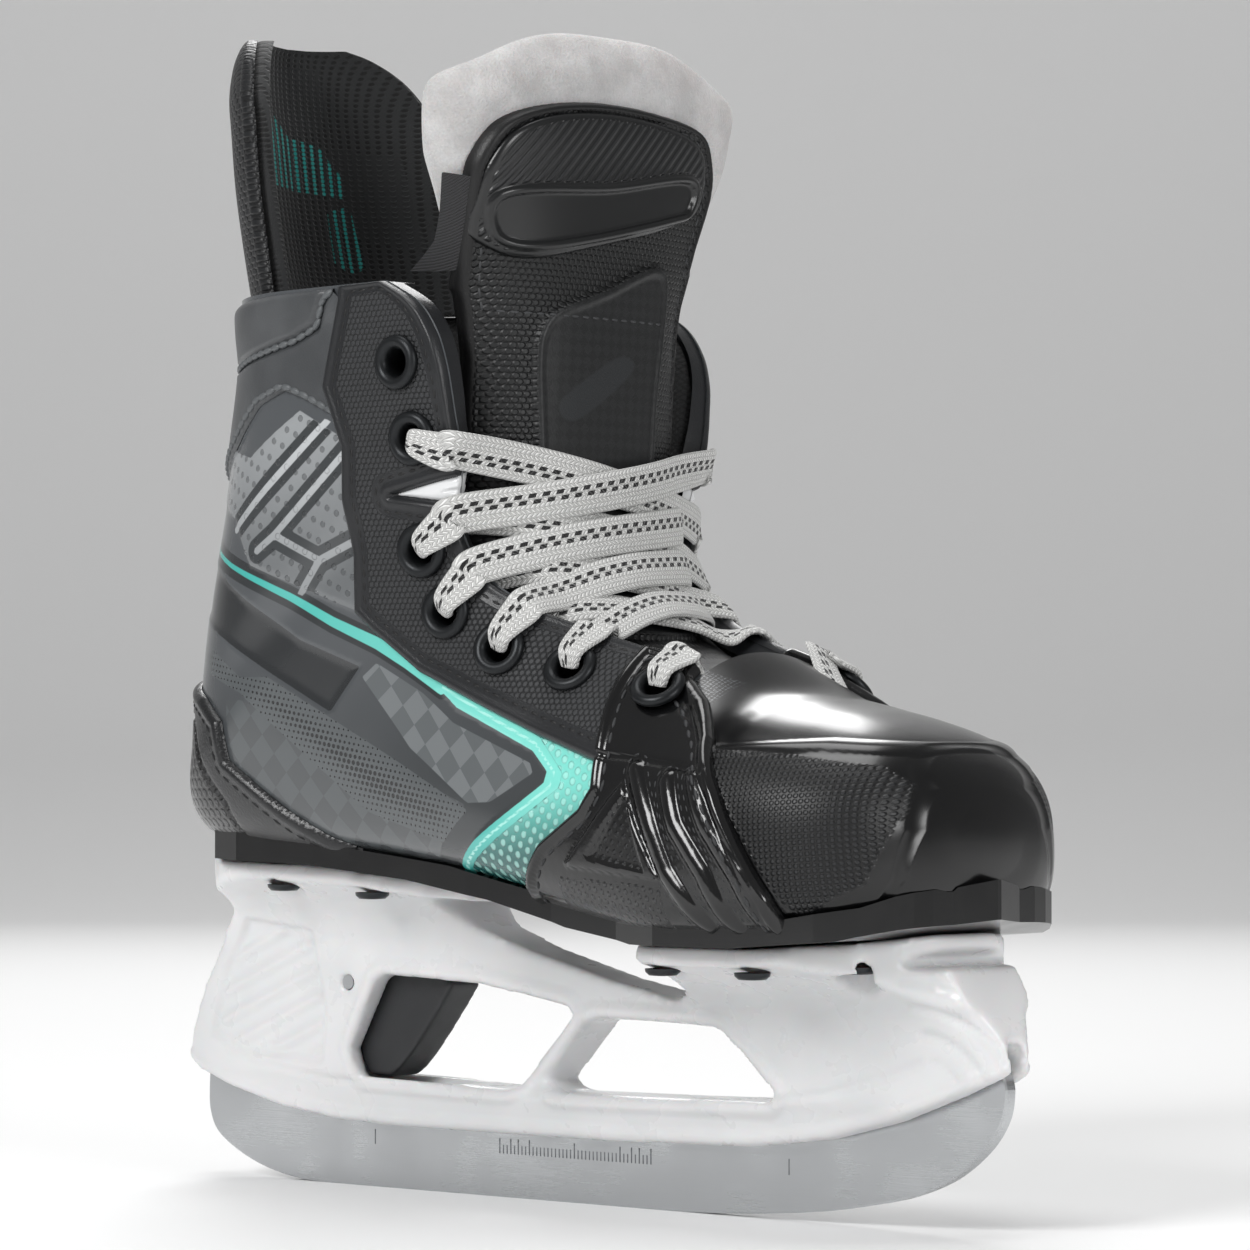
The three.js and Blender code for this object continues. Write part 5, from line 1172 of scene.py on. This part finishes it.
def build_lining(look):
    """The ankle lining, rolled over the top edge, and the footbed."""
    sheet = panel(7.5, COLLAR, 170, lambda u: -edge_of(u) + 1.4, lambda u: edge_of(u) - 1.4, 200)
    top, rim = (COLLAR - sheet.extra[:, 0]) * 15, sheet.extra[:, 2] - 1.4
    roll = 3.4 * (1 - swell(top, 7)) + 3.0 * (1 - swell(rim, 5))
    pad = 1.2 * bump(np.abs(sheet.extra[:, 1]), 95, 30) * np.clip((sheet.extra[:, 0] - 14) / 3, 0, 1)
    sheet.faces = sheet.faces[:, ::-1]
    lift = -5.4 + roll - pad
    made = add_sheet("ankle_lining", sheet, lift, cloth("lining knit", "#1d1e1f", "#0c0c0d", 0.95, 0.9))
    settle(made, "boot", "lining", "liner")
    widths = [(3.4, 17), (5, 24), (7, 27), (9, 25), (11, 22), (14.9, 19)]
    bed = panel(3.4, 14.9, 140, lambda u: -read(widths, u), lambda u: read(widths, u), 60)
    bed.faces = bed.faces[:, ::-1]
    fabric = cloth("footbed cloth", "#3b3f42", "#1d1f20", 0.9, 0.8)
    made = add_sheet("footbed_foam", bed, np.full(len(bed.points), -8.2), fabric)
    settle(made, "boot", "footbed", "footbed")


def eyelet_seat(index):
    """Height of an eyelet over the boot: the one nearest the toe sits on the strap, the others on the facing."""
    return STRAP_SEAT if index == len(EYELETS) - 1 else FACING_SEAT


def ring(profile, steps=32):
    """Rows of points round the Z axis, from a profile of (radius, height)."""
    a = np.linspace(0, 2 * np.pi, steps + 1)[:-1]
    return [[(r * math.cos(t), r * math.sin(t), h) for t in a] for r, h in profile]


def build_eyelets(look):
    """Seven eyelets a side."""
    metal = moulded("eyelet enamel", "#232527", 0.38, Metallic=0.6)
    profile = [
        (5.1, -0.3), (5.35, 0.1), (5.2, 0.8), (4.6, 1.25), (3.9, 1.35), (3.2, 1.0), (2.7, 0.2), (2.6, -1),
        (2.55, -5), (2.9, -5.2),
    ]
    for word, side in SIDES:
        for k, u in enumerate(EYELETS):
            at, out = boot_at(u, side * (edge_of(u) - EYELET_BACKSET), eyelet_seat(k))
            shape = loft("source", ring(profile), None)
            made = repeat(f"eyelet_ring_{word}_{k + 1}", shape, [at], [out], [(0, 1, 0)], metal)
            settle(made, "boot", "eyelet", f"eyelet_{word}_{k + 1}")


def node_copy(name, node, voxel):
    """A fine, smooth copy of a CAD node's mesh."""
    made = bpy.data.objects.new(name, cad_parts[node].data.copy())
    bpy.context.scene.collection.objects.link(made)
    remesh = made.modifiers.new("Remesh", "REMESH")
    remesh.mode, remesh.voxel_size, remesh.use_smooth_shade = "VOXEL", voxel * MM, True
    easing = made.modifiers.new("Ease", "SMOOTH")
    easing.factor, easing.iterations = 0.6, 10
    plain(made)
    made.data.materials.clear()
    return made


def carve(obj, depth):
    """Push a mesh's vertices along their normals, by depth(flat, normals) in mm."""
    mesh = obj.data
    points, normals = np.zeros(len(mesh.vertices) * 3), np.zeros(len(mesh.vertices) * 3)
    mesh.vertices.foreach_get("co", points)
    mesh.vertices.foreach_get("normal", normals)
    points, normals = points.reshape(-1, 3) / MM, normals.reshape(-1, 3)
    moved = points + normals * depth(points[:, [0, 2]], normals)[:, None]
    mesh.vertices.foreach_set("co", (moved * MM).ravel())
    mesh.update()


def build_outsole(look):
    """The outsole, smooth-shaded, with its edges kept sharp."""
    made = bpy.data.objects.new("outsole_band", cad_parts["outsole"].data.copy())
    bpy.context.scene.collection.objects.link(made)
    made.data.materials.clear()
    made.data.shade_smooth()
    made.data.set_sharp_from_angle(angle=math.radians(35))
    made.data.materials.append(moulded("outsole", "#0b0b0c", 0.24, Coat_Weight=0.3))
    settle(made, "boot", "outsole", "outsole")


def build_holder(look):
    """The blade holder with its relief, the release trigger, its pin and the rivet heads."""
    made = node_copy("blade_holder", "holder", 0.85)

    def relief(flat, normals):
        facing = np.clip((np.abs(normals[:, 1]) - 0.45) / 0.3, 0, 1)
        rear = inside(flat, REAR_PANEL)
        ribs = np.abs((flat[:, 1] * 0.92 - flat[:, 0] * 0.38) % 5.2 - 2.6)
        d = -0.9 * swell(rear, 1.2) + 0.7 * bump(ribs, 0, 1.3) * (rear > 1.4)
        for window in (MIDDLE_WINDOW, FRONT_WINDOW):
            d += 0.7 * bump(-inside(flat, window), 1.6, 1.7)
        rail = flat[:, 1] - read(RAIL_LINE, flat[:, 0])
        d += 0.45 * bump(rail, 1.6, 1.5) - 0.35 * bump(rail, 8.6, 0.9) * (np.abs(flat[:, 0]) < 92)
        nose = np.hypot(flat[:, 0] - 92, flat[:, 1] - 24)
        d -= 0.55 * bump(nose % 5.0, 2.5, 1.1) * (flat[:, 0] > 92) * (nose > 8)
        return d * facing

    carve(made, relief)
    made.data.materials.append(nylon())
    settle(made, "boot", "holder", "holder")
    lever = node_copy("release_trigger", "trigger", 0.45)
    lever.data.materials.append(moulded("trigger nylon", "#242527", 0.42, 0.4, 0.05))
    settle(lever, "trigger", "trigger", "trigger")
    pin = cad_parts["trigger_pin"]
    pin.data.materials.clear()
    pin.data.materials.append(steel())
    dark = moulded("rivet steel", "#3a3c3e", 0.35, Metallic=0.9)
    profile = [
        (0.01, -1.35), (1.2, -1.35), (1.35, -1.0), (1.8, -1.0), (2.0, -1.3), (2.6, -1.25), (3.3, -0.6),
        (3.4, 0),
    ]
    for word, side in SIDES:
        for name, (x, y) in zip(("rear_1", "rear_2", "front_1", "front_2", "front_3"), RIVETS):
            under = read(SOLE_LINE, x) - HOLDER_GAP - FLANGE - RIVET_STEP
            shape, place = loft("source", ring(profile, 24), None), (x, side * y, under)
            head = repeat(f"rivet_head_{word}_{name}", shape, [place], [(0, 0, 1)], [(1, 0, 0)], dark)
            settle(head, "boot", "rivet", f"rivet_{word}_{name}")


def build_runner(look):
    """The steel runner with eased edges, and the ticks etched on both sides."""
    bottom = spline(RUNNER_BOTTOM, 320)
    top = [(103.5, 30.9), (98, 31.8), (84, 26.6), (68, 22.6), (50, 20.2), (20, 19.3), (-45, 19.2),
           (-62, 19.6), (-78, 21.6), (-92, 25), (-100, 26.5)]
    outline = np.concatenate([bottom, np.array(top, float)])
    a, b = np.roll(outline, 1, axis=0), np.roll(outline, -1, axis=0)
    way = unit(b - a)
    inner = outline + np.stack([-way[:, 1], way[:, 0]], -1) * 0.35
    layers = ((-1.5, inner), (-1.15, outline), (1.15, outline), (1.5, inner))
    rows = [[(x, y, z) for x, z in loop] for y, loop in layers]
    made = loft("runner_blade", rows, steel(), caps=True, fine=False)
    face_out(made)
    settle(made, "boot", "runner", "runner")
    ink = moulded("etched mark", "#7b7e81", 0.5, Metallic=0.6)
    long_ticks = [float(x) for x in (-20, -17, -15, -12, 0, 12, 15, 17, 20)]
    short_ticks = [float(x) for x in range(-20, 21) if x not in long_ticks]
    marks = []
    for tall, places in ((3.0, long_ticks + [-54.7, 54.7]), (1.7, short_ticks)):
        corners = [(-0.14, -tall / 2), (0.14, -tall / 2), (0.14, tall / 2), (-0.14, tall / 2)]
        for _, side in SIDES:
            at = [(x, side * 1.5, 8.6 + tall / 2) for x in places]
            slab = loft("source", [[(a, b, h) for a, b in corners] for h in (-0.02, 0.03)], None, caps=True)
            marks.append(repeat("mark", slab, at, [(0, side, 0)] * len(at), [(1, 0, 0)] * len(at), ink))
    settle(join("runner_marks", marks), "boot", "runner")


def tongue_panel(v0, v1, rows, c0, c1, columns):
    v, c = np.meshgrid(np.linspace(v0, v1, rows), np.linspace(c0, c1, columns), indexing="ij")
    points, normals = tongue_grid(v, c, np.zeros(v.shape))
    sheet = Sheet(points, normals)
    sheet.extra = np.stack([v.ravel(), c.ravel()], -1)
    return sheet


def on_tongue(sheet, outline, soft=True):
    """Distance in mm from an outline given as (station, share of the half width)."""
    return inside(sheet.extra * TONGUE_MM, (rounded(outline) if soft else np.array(outline)) * TONGUE_MM)


def build_tongue(look):
    """The felt tongue, its cover and stitching, the plate and the blank tab."""
    rows = []
    for v in np.r_[np.linspace(0.3, 11.9, 120), 11.9 + 2.09 * np.sin(np.linspace(0, np.pi / 2, 64))[1:]]:
        high = min(max(v - 11.9, 0) / 2.1, 0.9995)
        wide, thick = (1 - high**2.5) ** (1 / 2.5), 0.25 + 0.75 * (1 - high**5) ** 0.5
        swollen = 1.0 + 0.9 * np.clip((v - 8.5) / 2, 0, 1)
        a = np.linspace(0, 2 * np.pi, 97)[:-1]
        c = 0.985 * wide * np.sign(np.cos(a)) * np.abs(np.cos(a)) ** 0.45
        depth = -6.9 + (3.6 + swollen) * thick * np.sign(np.sin(a)) * np.abs(np.sin(a)) ** 0.75
        wave = 0.35 * np.sin(v * 1.7 + c * 3.1) + 0.25 * np.sin(v * 3.9 - c * 5.2)
        rows.append(tongue_grid(np.full(96, v), c, depth + wave)[0])
    made = loft("tongue_pad", rows, felt(), caps=True)
    face_out(made)
    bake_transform(made)
    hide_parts("tongue_felt", "tongue_lower_felt")
    sheet = tongue_panel(0.2, 12.7, 300, -1, 1, 150)
    sheet.trim(on_tongue(sheet, COVER))
    edge, guard = on_tongue(sheet, COVER), on_tongue(sheet, TONGUE_GUARD)
    lift = -2.7 + 2.4 * swell(edge, 2.0) + 0.8 * bump(edge, 1.2, 1.2) + 0.9 * swell(guard, 1.6)
    lift += 0.5 * bump(guard, 1.2, 1.2)
    fields = {"edge": edge, "guard": guard, "chevron": on_tongue(sheet, TONGUE_CHEVRON)}
    made = add_sheet("tongue_face", sheet, lift, tongue_skin_material(), fields)
    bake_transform(made)
    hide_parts("tongue_cover", "tongue_lower_cover")
    thread = moulded("tongue thread", "#3a3b3d", 0.6)
    upper = np.minimum(edge - 3.0, (sheet.extra[:, 0] - 8.75) * 12)
    rows = seam("tongue_stitches", sheet, upper, lift, thread, 1.9, 0.7, 2.7)
    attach(rows, "tongue_top")
    badge = tongue_panel(9.3, 12.3, 130, -0.95, 0.65, 150)
    badge.trim(on_tongue(badge, BADGE))
    edge, blank = on_tongue(badge, BADGE), on_tongue(badge, BADGE_BAND)
    lift = -0.2 + 1.2 * swell(edge, 1.4) + 0.7 * bump(blank, 0, 0.9) - 0.35 * swell(blank - 0.8, 0.5)
    fields = {"ribs": np.minimum(edge - 1.2, -blank - 1)}
    made = add_sheet("tongue_plate", badge, lift, badge_rubber(), fields)
    settle(made, "tongue_top", "badge", "tongue_badge")
    tab = tongue_panel(9.2, 11, 70, -1.0, -0.76, 40)
    tab.trim(on_tongue(tab, LABEL, False))
    fields = {"dark": 3.2 - on_tongue(tab, LABEL, False)}
    made = add_sheet("size_tab", tab, np.full(len(tab.points), -0.5), label_weave(), fields)
    settle(made, "tongue_top", "label", "tongue_label")


def guard_shape(rise, across, inset):
    """Points of the tendon guard at shares of its height and of its arc, inset from its outside."""
    z, back, depth, half = np.moveaxis(smooth(GUARD_ROWS, rise), -1, 0)
    a = np.radians(GUARD_ARC) * across
    x = back + inset + (depth - inset * 0.3) * (1 - np.cos(a))
    return np.stack([x, (half - inset) * np.sin(a), z], -1)


def build_guard(look):
    """The tendon guard and its printed lining."""
    last = len(GUARD_ROWS) - 1
    for name, outer, inner, node, slot in (
        ("guard_shell", 0.0, 2.0, "tendon_guard", "guard"),
        ("guard_lining", 1.9, 4.9, "tendon_guard_pad", "lining"),
    ):
        rows = []
        for rise in np.linspace(0, last, 110):
            a = np.linspace(0, 2 * np.pi, 121)[:-1]
            across = np.sign(np.cos(a)) * np.abs(np.cos(a)) ** 0.35
            across *= 0.99 if node == "tendon_guard_pad" else 1
            inset = (outer + inner) / 2 - (inner - outer) / 2 * np.sign(np.sin(a)) * np.abs(np.sin(a)) ** 0.6
            bead = 0.35 * bump(1 - np.abs(across), 0.05, 0.05) if node == "tendon_guard" else 0
            rows.append(guard_shape(np.full(120, rise), across, inset - bead))
        made = loft(name, rows, None, caps=True)
        face_out(made)
        made.data.materials.clear()
        if node == "tendon_guard":
            made.data.materials.append(dimpled("guard skin", "#17181a", "#0b0b0c", 1.4, 0.4, "yz"))
        else:
            made.data.materials.append(guard_print())
            flat = np.array([v.co for v in made.data.vertices])[:, 1:] / MM
            fields = {
                key: np.maximum.reduce([inside(flat, patch) for patch in patches])
                for key, patches in (("teal", TEAL_PATCHES), ("plain", PLAIN_PATCHES))
            }
            for key, values in fields.items():
                mark(made, key, values)
        settle(made, "tendon_guard", slot, node)


def ribbon(name, stops, material, width, start=0.0):
    """A flat lace along stops of (point, outward, share of its width)."""
    table = np.array([[*p, *o, w] for p, o, w in stops], float)
    length = np.linalg.norm(np.diff(table[:, :3], axis=0), axis=1).sum()
    fine = smooth(table, np.linspace(0, len(table) - 1, max(int(length / 0.9), 12)))
    at, out = fine[:, :3], unit(fine[:, 3:6])
    way = unit(np.gradient(at, axis=0))
    side = unit(np.cross(way, out))
    out = unit(np.cross(side, way))
    a = np.linspace(0, 2 * np.pi, 21)[:-1]
    across = np.sign(np.cos(a)) * np.abs(np.cos(a)) ** 0.6
    thick = np.sign(np.sin(a)) * np.abs(np.sin(a)) ** 0.8
    half = width / 2 * fine[:, 6]
    rows = at[:, None] + side[:, None] * (across[None] * half[:, None])[..., None]
    rows += out[:, None] * (thick[None] * (0.75 + 0.5 * (1 - fine[:, 6]))[:, None])[..., None]
    run = start + np.r_[0, np.cumsum(np.linalg.norm(np.diff(at, axis=0), axis=1))]
    uv = np.stack([np.repeat(run, 20), np.tile(across * width / 2, len(at))], -1)
    return loft(name, rows, material, caps=True, uv=uv)


def build_laces(look):
    """Crossed runs of flat lace through six pairs of eyelets."""
    weave = lace_weave(look)
    skin = [(v, tongue_skin(np.array(v), np.array(0.0))) for v in np.arange(0, 9, 0.1)]

    def station_near(point):
        return min(skin, key=lambda q: np.hypot(q[1][0] - point[0], q[1][2] - point[2]))[0]

    def on_boot(index, side, inset, lift, drop=0.0):
        u = EYELETS[index] - drop
        return boot_at(u, side * (edge_of(u) - inset), lift)

    def crossing(start, side, end, rise, under):
        base = eyelet_seat(start)
        p0, n0 = on_boot(start, side, EYELET_BACKSET, base + 0.2)
        p1, n1 = on_boot(start, side, EYELET_BACKSET - 2.2, base + 2.4)
        p2, n2 = on_boot(start, side, 3.0, base + 1.0)
        p3, n3 = on_boot(start, side, 0.2, base + 0.4)
        edge_start = on_boot(start, side, 0.0, 0.5)[0]
        edge_end = on_boot(end, -side, 0.0, 0.5, 0 if under else 1.5)[0]
        v0, v1 = station_near(edge_start), station_near(edge_end)
        stops = [(p0, n0, 0.45), (p1, n1, 0.72), (p2, n2, 1), (p3, n3, 1)]
        for share in (-0.7, -0.35, 0, 0.35, 0.7):
            v, c = v0 + (v1 - v0) * (share + 1) / 2, -share * side
            lift = 1.9 + rise * (1 - abs(share))
            p, n = tongue_grid(np.array(v), np.array(c), np.array(lift))
            stops.append((p, n, 1))
        if under:
            q, m = on_boot(end, -side, 1.5, -3.6)
            stops += [(q, m, 1), (*on_boot(end, -side, 6.5, -4.2), 0.9)]
        else:
            drop = 1.4 if start != end else 0.0
            ways = (
                (0.2, 0.4, 1), (3.0, 1.0, 0.8), (EYELET_BACKSET - 2.2, 2.4, 0.2), (EYELET_BACKSET, 0.2, 0),
            )
            q = [on_boot(end, -side, a, base + b, drop * c) for a, b, c in ways]
            stops += [(*q[0], 1), (*q[1], 1), (*q[2], 0.72), (*q[3], 0.45)]
        return stops

    width = look.lace_width / MM
    pieces = [ribbon("lace", crossing(6, -1, 6, 0.0, False), weave, width)]
    start = 70.0
    for index in (5, 4, 3, 2):
        for side in (-1, 1):
            rise = 2.4 if side < 0 else 0.4
            stops = crossing(index, side, index - 1, rise, index > 2)
            pieces.append(ribbon("lace", stops, weave, width, start))
            start += 41.0
    made = join("lace_run", pieces)
    settle(made, "boot", "laces", "laces")


def build_stage(look):
    """A white floor that curves up behind the skate, four soft lamps and a bright backdrop."""
    paint = Paint("studio floor", "#f4f4f4", 0.75)
    mesh = bpy.data.meshes.new("floor")
    near, far, reach, bend, tall = 2.4, -1.6, 3.0, 0.6, 3.0
    curve = [(far - bend * math.sin(a), bend * (1 - math.cos(a))) for a in np.linspace(0.1, math.pi / 2, 14)]
    profile = [(near, 0.0), (far, 0.0), *curve, (far - bend, tall)]
    toward = Vector((math.sin(CAMERA_TURN), -math.cos(CAMERA_TURN), 0))
    across = Vector((toward.y, -toward.x, 0))
    points = [tuple(toward * d + across * w + Vector((0, 0, h))) for d, h in profile for w in (-reach, reach)]
    faces = [(2 * k, 2 * k + 1, 2 * k + 3, 2 * k + 2) for k in range(len(profile) - 1)]
    mesh.from_pydata(points, [], faces)
    mesh.shade_smooth()
    mesh.materials.append(paint.material)
    floor = bpy.data.objects.new("floor", mesh)
    bpy.context.scene.collection.objects.link(floor)
    aim = Vector((0, 0, 0.1))
    for name, place, power, size in (
        ("key", (0.0, -1.3, 0.9), 14, 0.6), ("fill", (1.4, -0.2, 0.5), 6, 0.5),
        ("rim", (-0.9, 0.9, 1.0), 7, 0.6), ("top", (-0.1, 0.1, 1.5), 8, 0.8),
    ):
        lamp = bpy.data.lights.new(name, "AREA")
        lamp.energy, lamp.size = power, size
        made = bpy.data.objects.new(name, lamp)
        made.location = place
        made.rotation_euler = (aim - Vector(place)).to_track_quat("-Z", "Y").to_euler()
        bpy.context.scene.collection.objects.link(made)
    world = bpy.data.worlds.new("studio")
    world.use_nodes = True
    tree = world.node_tree
    seen = tree.nodes.new("ShaderNodeLightPath").outputs["Is Camera Ray"]
    bright = tree.nodes.new("ShaderNodeMapRange")
    tree.links.new(seen, bright.inputs["Value"])
    bright.inputs["To Min"].default_value, bright.inputs["To Max"].default_value = 0.24, 1.0
    tree.nodes["Background"].inputs["Color"].default_value = (1, 1, 1, 1)
    tree.links.new(bright.outputs["Result"], tree.nodes["Background"].inputs["Strength"])
    bpy.context.scene.world = world
    bpy.context.scene.view_settings.view_transform = "Standard"


def build_camera(look):
    """A long lens in front of the skate and a little to its right."""
    a, e = CAMERA_TURN, CAMERA_RISE
    back = Vector((math.sin(a) * math.cos(e), -math.cos(a) * math.cos(e), math.sin(e)))
    data = bpy.data.cameras.new("camera")
    data.lens, data.sensor_width, data.clip_start = CAMERA_LENS, 36.0, 0.05
    camera = bpy.data.objects.new("camera", data)
    camera.location = CAMERA_PLACE * MM
    camera.rotation_euler = (-back).to_track_quat("-Z", "Y").to_euler()
    bpy.context.scene.collection.objects.link(camera)
    bpy.context.scene.camera = camera


# ---- the add-on ------------------------------------------------------------------------------------------
def colour(name, text, code):
    return FloatVectorProperty(
        name=name, description=text, default=srgb(code)[:3], subtype="COLOR", size=3, min=0, max=1
    )


class SkateLook(bpy.types.PropertyGroup):
    """Sizes and colours of the skate's finish."""

    teal: colour("Teal", "Colour of the stripe", "#45b3aa")
    aqua: colour("Aqua", "Colour of the chevron", "#86e6d8")
    silver: colour("Silver", "Colour of the ankle print", "#9b9ea0")
    lace: colour("Lace", "Colour of the laces", "#f3f3f1")
    lace_width: FloatProperty(
        name="Lace Width", description="Width of the flat lace", default=7.6 * MM, unit="LENGTH",
        min=0.004, max=0.012,
    )
    strap_bead: FloatProperty(
        name="Strap Bead", description="Height of the rolled edge of the toe straps", default=0.7 * MM,
        unit="LENGTH", min=0, max=0.002,
    )


STEPS = (
    ("camera", "Camera", "Set the camera in front of the skate", build_camera),
    ("quarter", "Quarter", "Add the printed quarter", build_quarter),
    ("toe", "Toe Cap", "Add the toe cap", build_toe),
    ("counter", "Heel Counter", "Add the heel counter and its stitching", build_counter),
    ("collar", "Collar", "Add the collar and its rope seams", build_collar),
    ("lining", "Lining", "Add the lining and the footbed", build_lining),
    ("facing", "Facings", "Add the eyelet facings and notch inserts", build_facing),
    ("strap", "Toe Straps", "Add the toe straps", build_strap),
    ("eyelets", "Eyelets", "Add the eyelets", build_eyelets),
    ("tongue", "Tongue", "Add the felt tongue, its cover, plate and tab", build_tongue),
    ("guard", "Tendon Guard", "Add the tendon guard and its lining", build_guard),
    ("laces", "Laces", "Lace the boot", build_laces),
    ("outsole", "Outsole", "Add the outsole", build_outsole),
    ("holder", "Blade Holder", "Add the holder, trigger and rivets", build_holder),
    ("runner", "Runner", "Add the steel runner and its marks", build_runner),
    ("stage", "Stage", "Add the floor and lights", build_stage),
)


def step_operator(key, label, text, build):
    def execute(self, context):
        build(context.scene.skate_look)
        return {"FINISHED"}

    values = {"__doc__": text, "bl_idname": f"skate.{key}", "bl_label": label, "execute": execute}
    return type(f"SKATE_OT_{key}", (bpy.types.Operator,), values)


class SKATE_PT_panel(bpy.types.Panel):
    """Builds the skate step by step."""

    bl_label = "Hockey Skate"
    bl_space_type = "VIEW_3D"
    bl_region_type = "UI"
    bl_category = "Skate"

    def draw(self, context):
        for key in SkateLook.__annotations__:
            self.layout.prop(context.scene.skate_look, key)
        for key, *_ in STEPS:
            self.layout.operator(f"skate.{key}")


CLASSES = (SkateLook, *(step_operator(*step) for step in STEPS), SKATE_PT_panel)


def register():
    for item in CLASSES:
        bpy.utils.register_class(item)
    bpy.types.Scene.skate_look = PointerProperty(type=SkateLook)


def unregister():
    del bpy.types.Scene.skate_look
    for item in reversed(CLASSES):
        bpy.utils.unregister_class(item)


def main():
    register()
    for key, *_ in STEPS:
        getattr(bpy.ops.skate, key)()


if __name__ == "__main__":
    main()
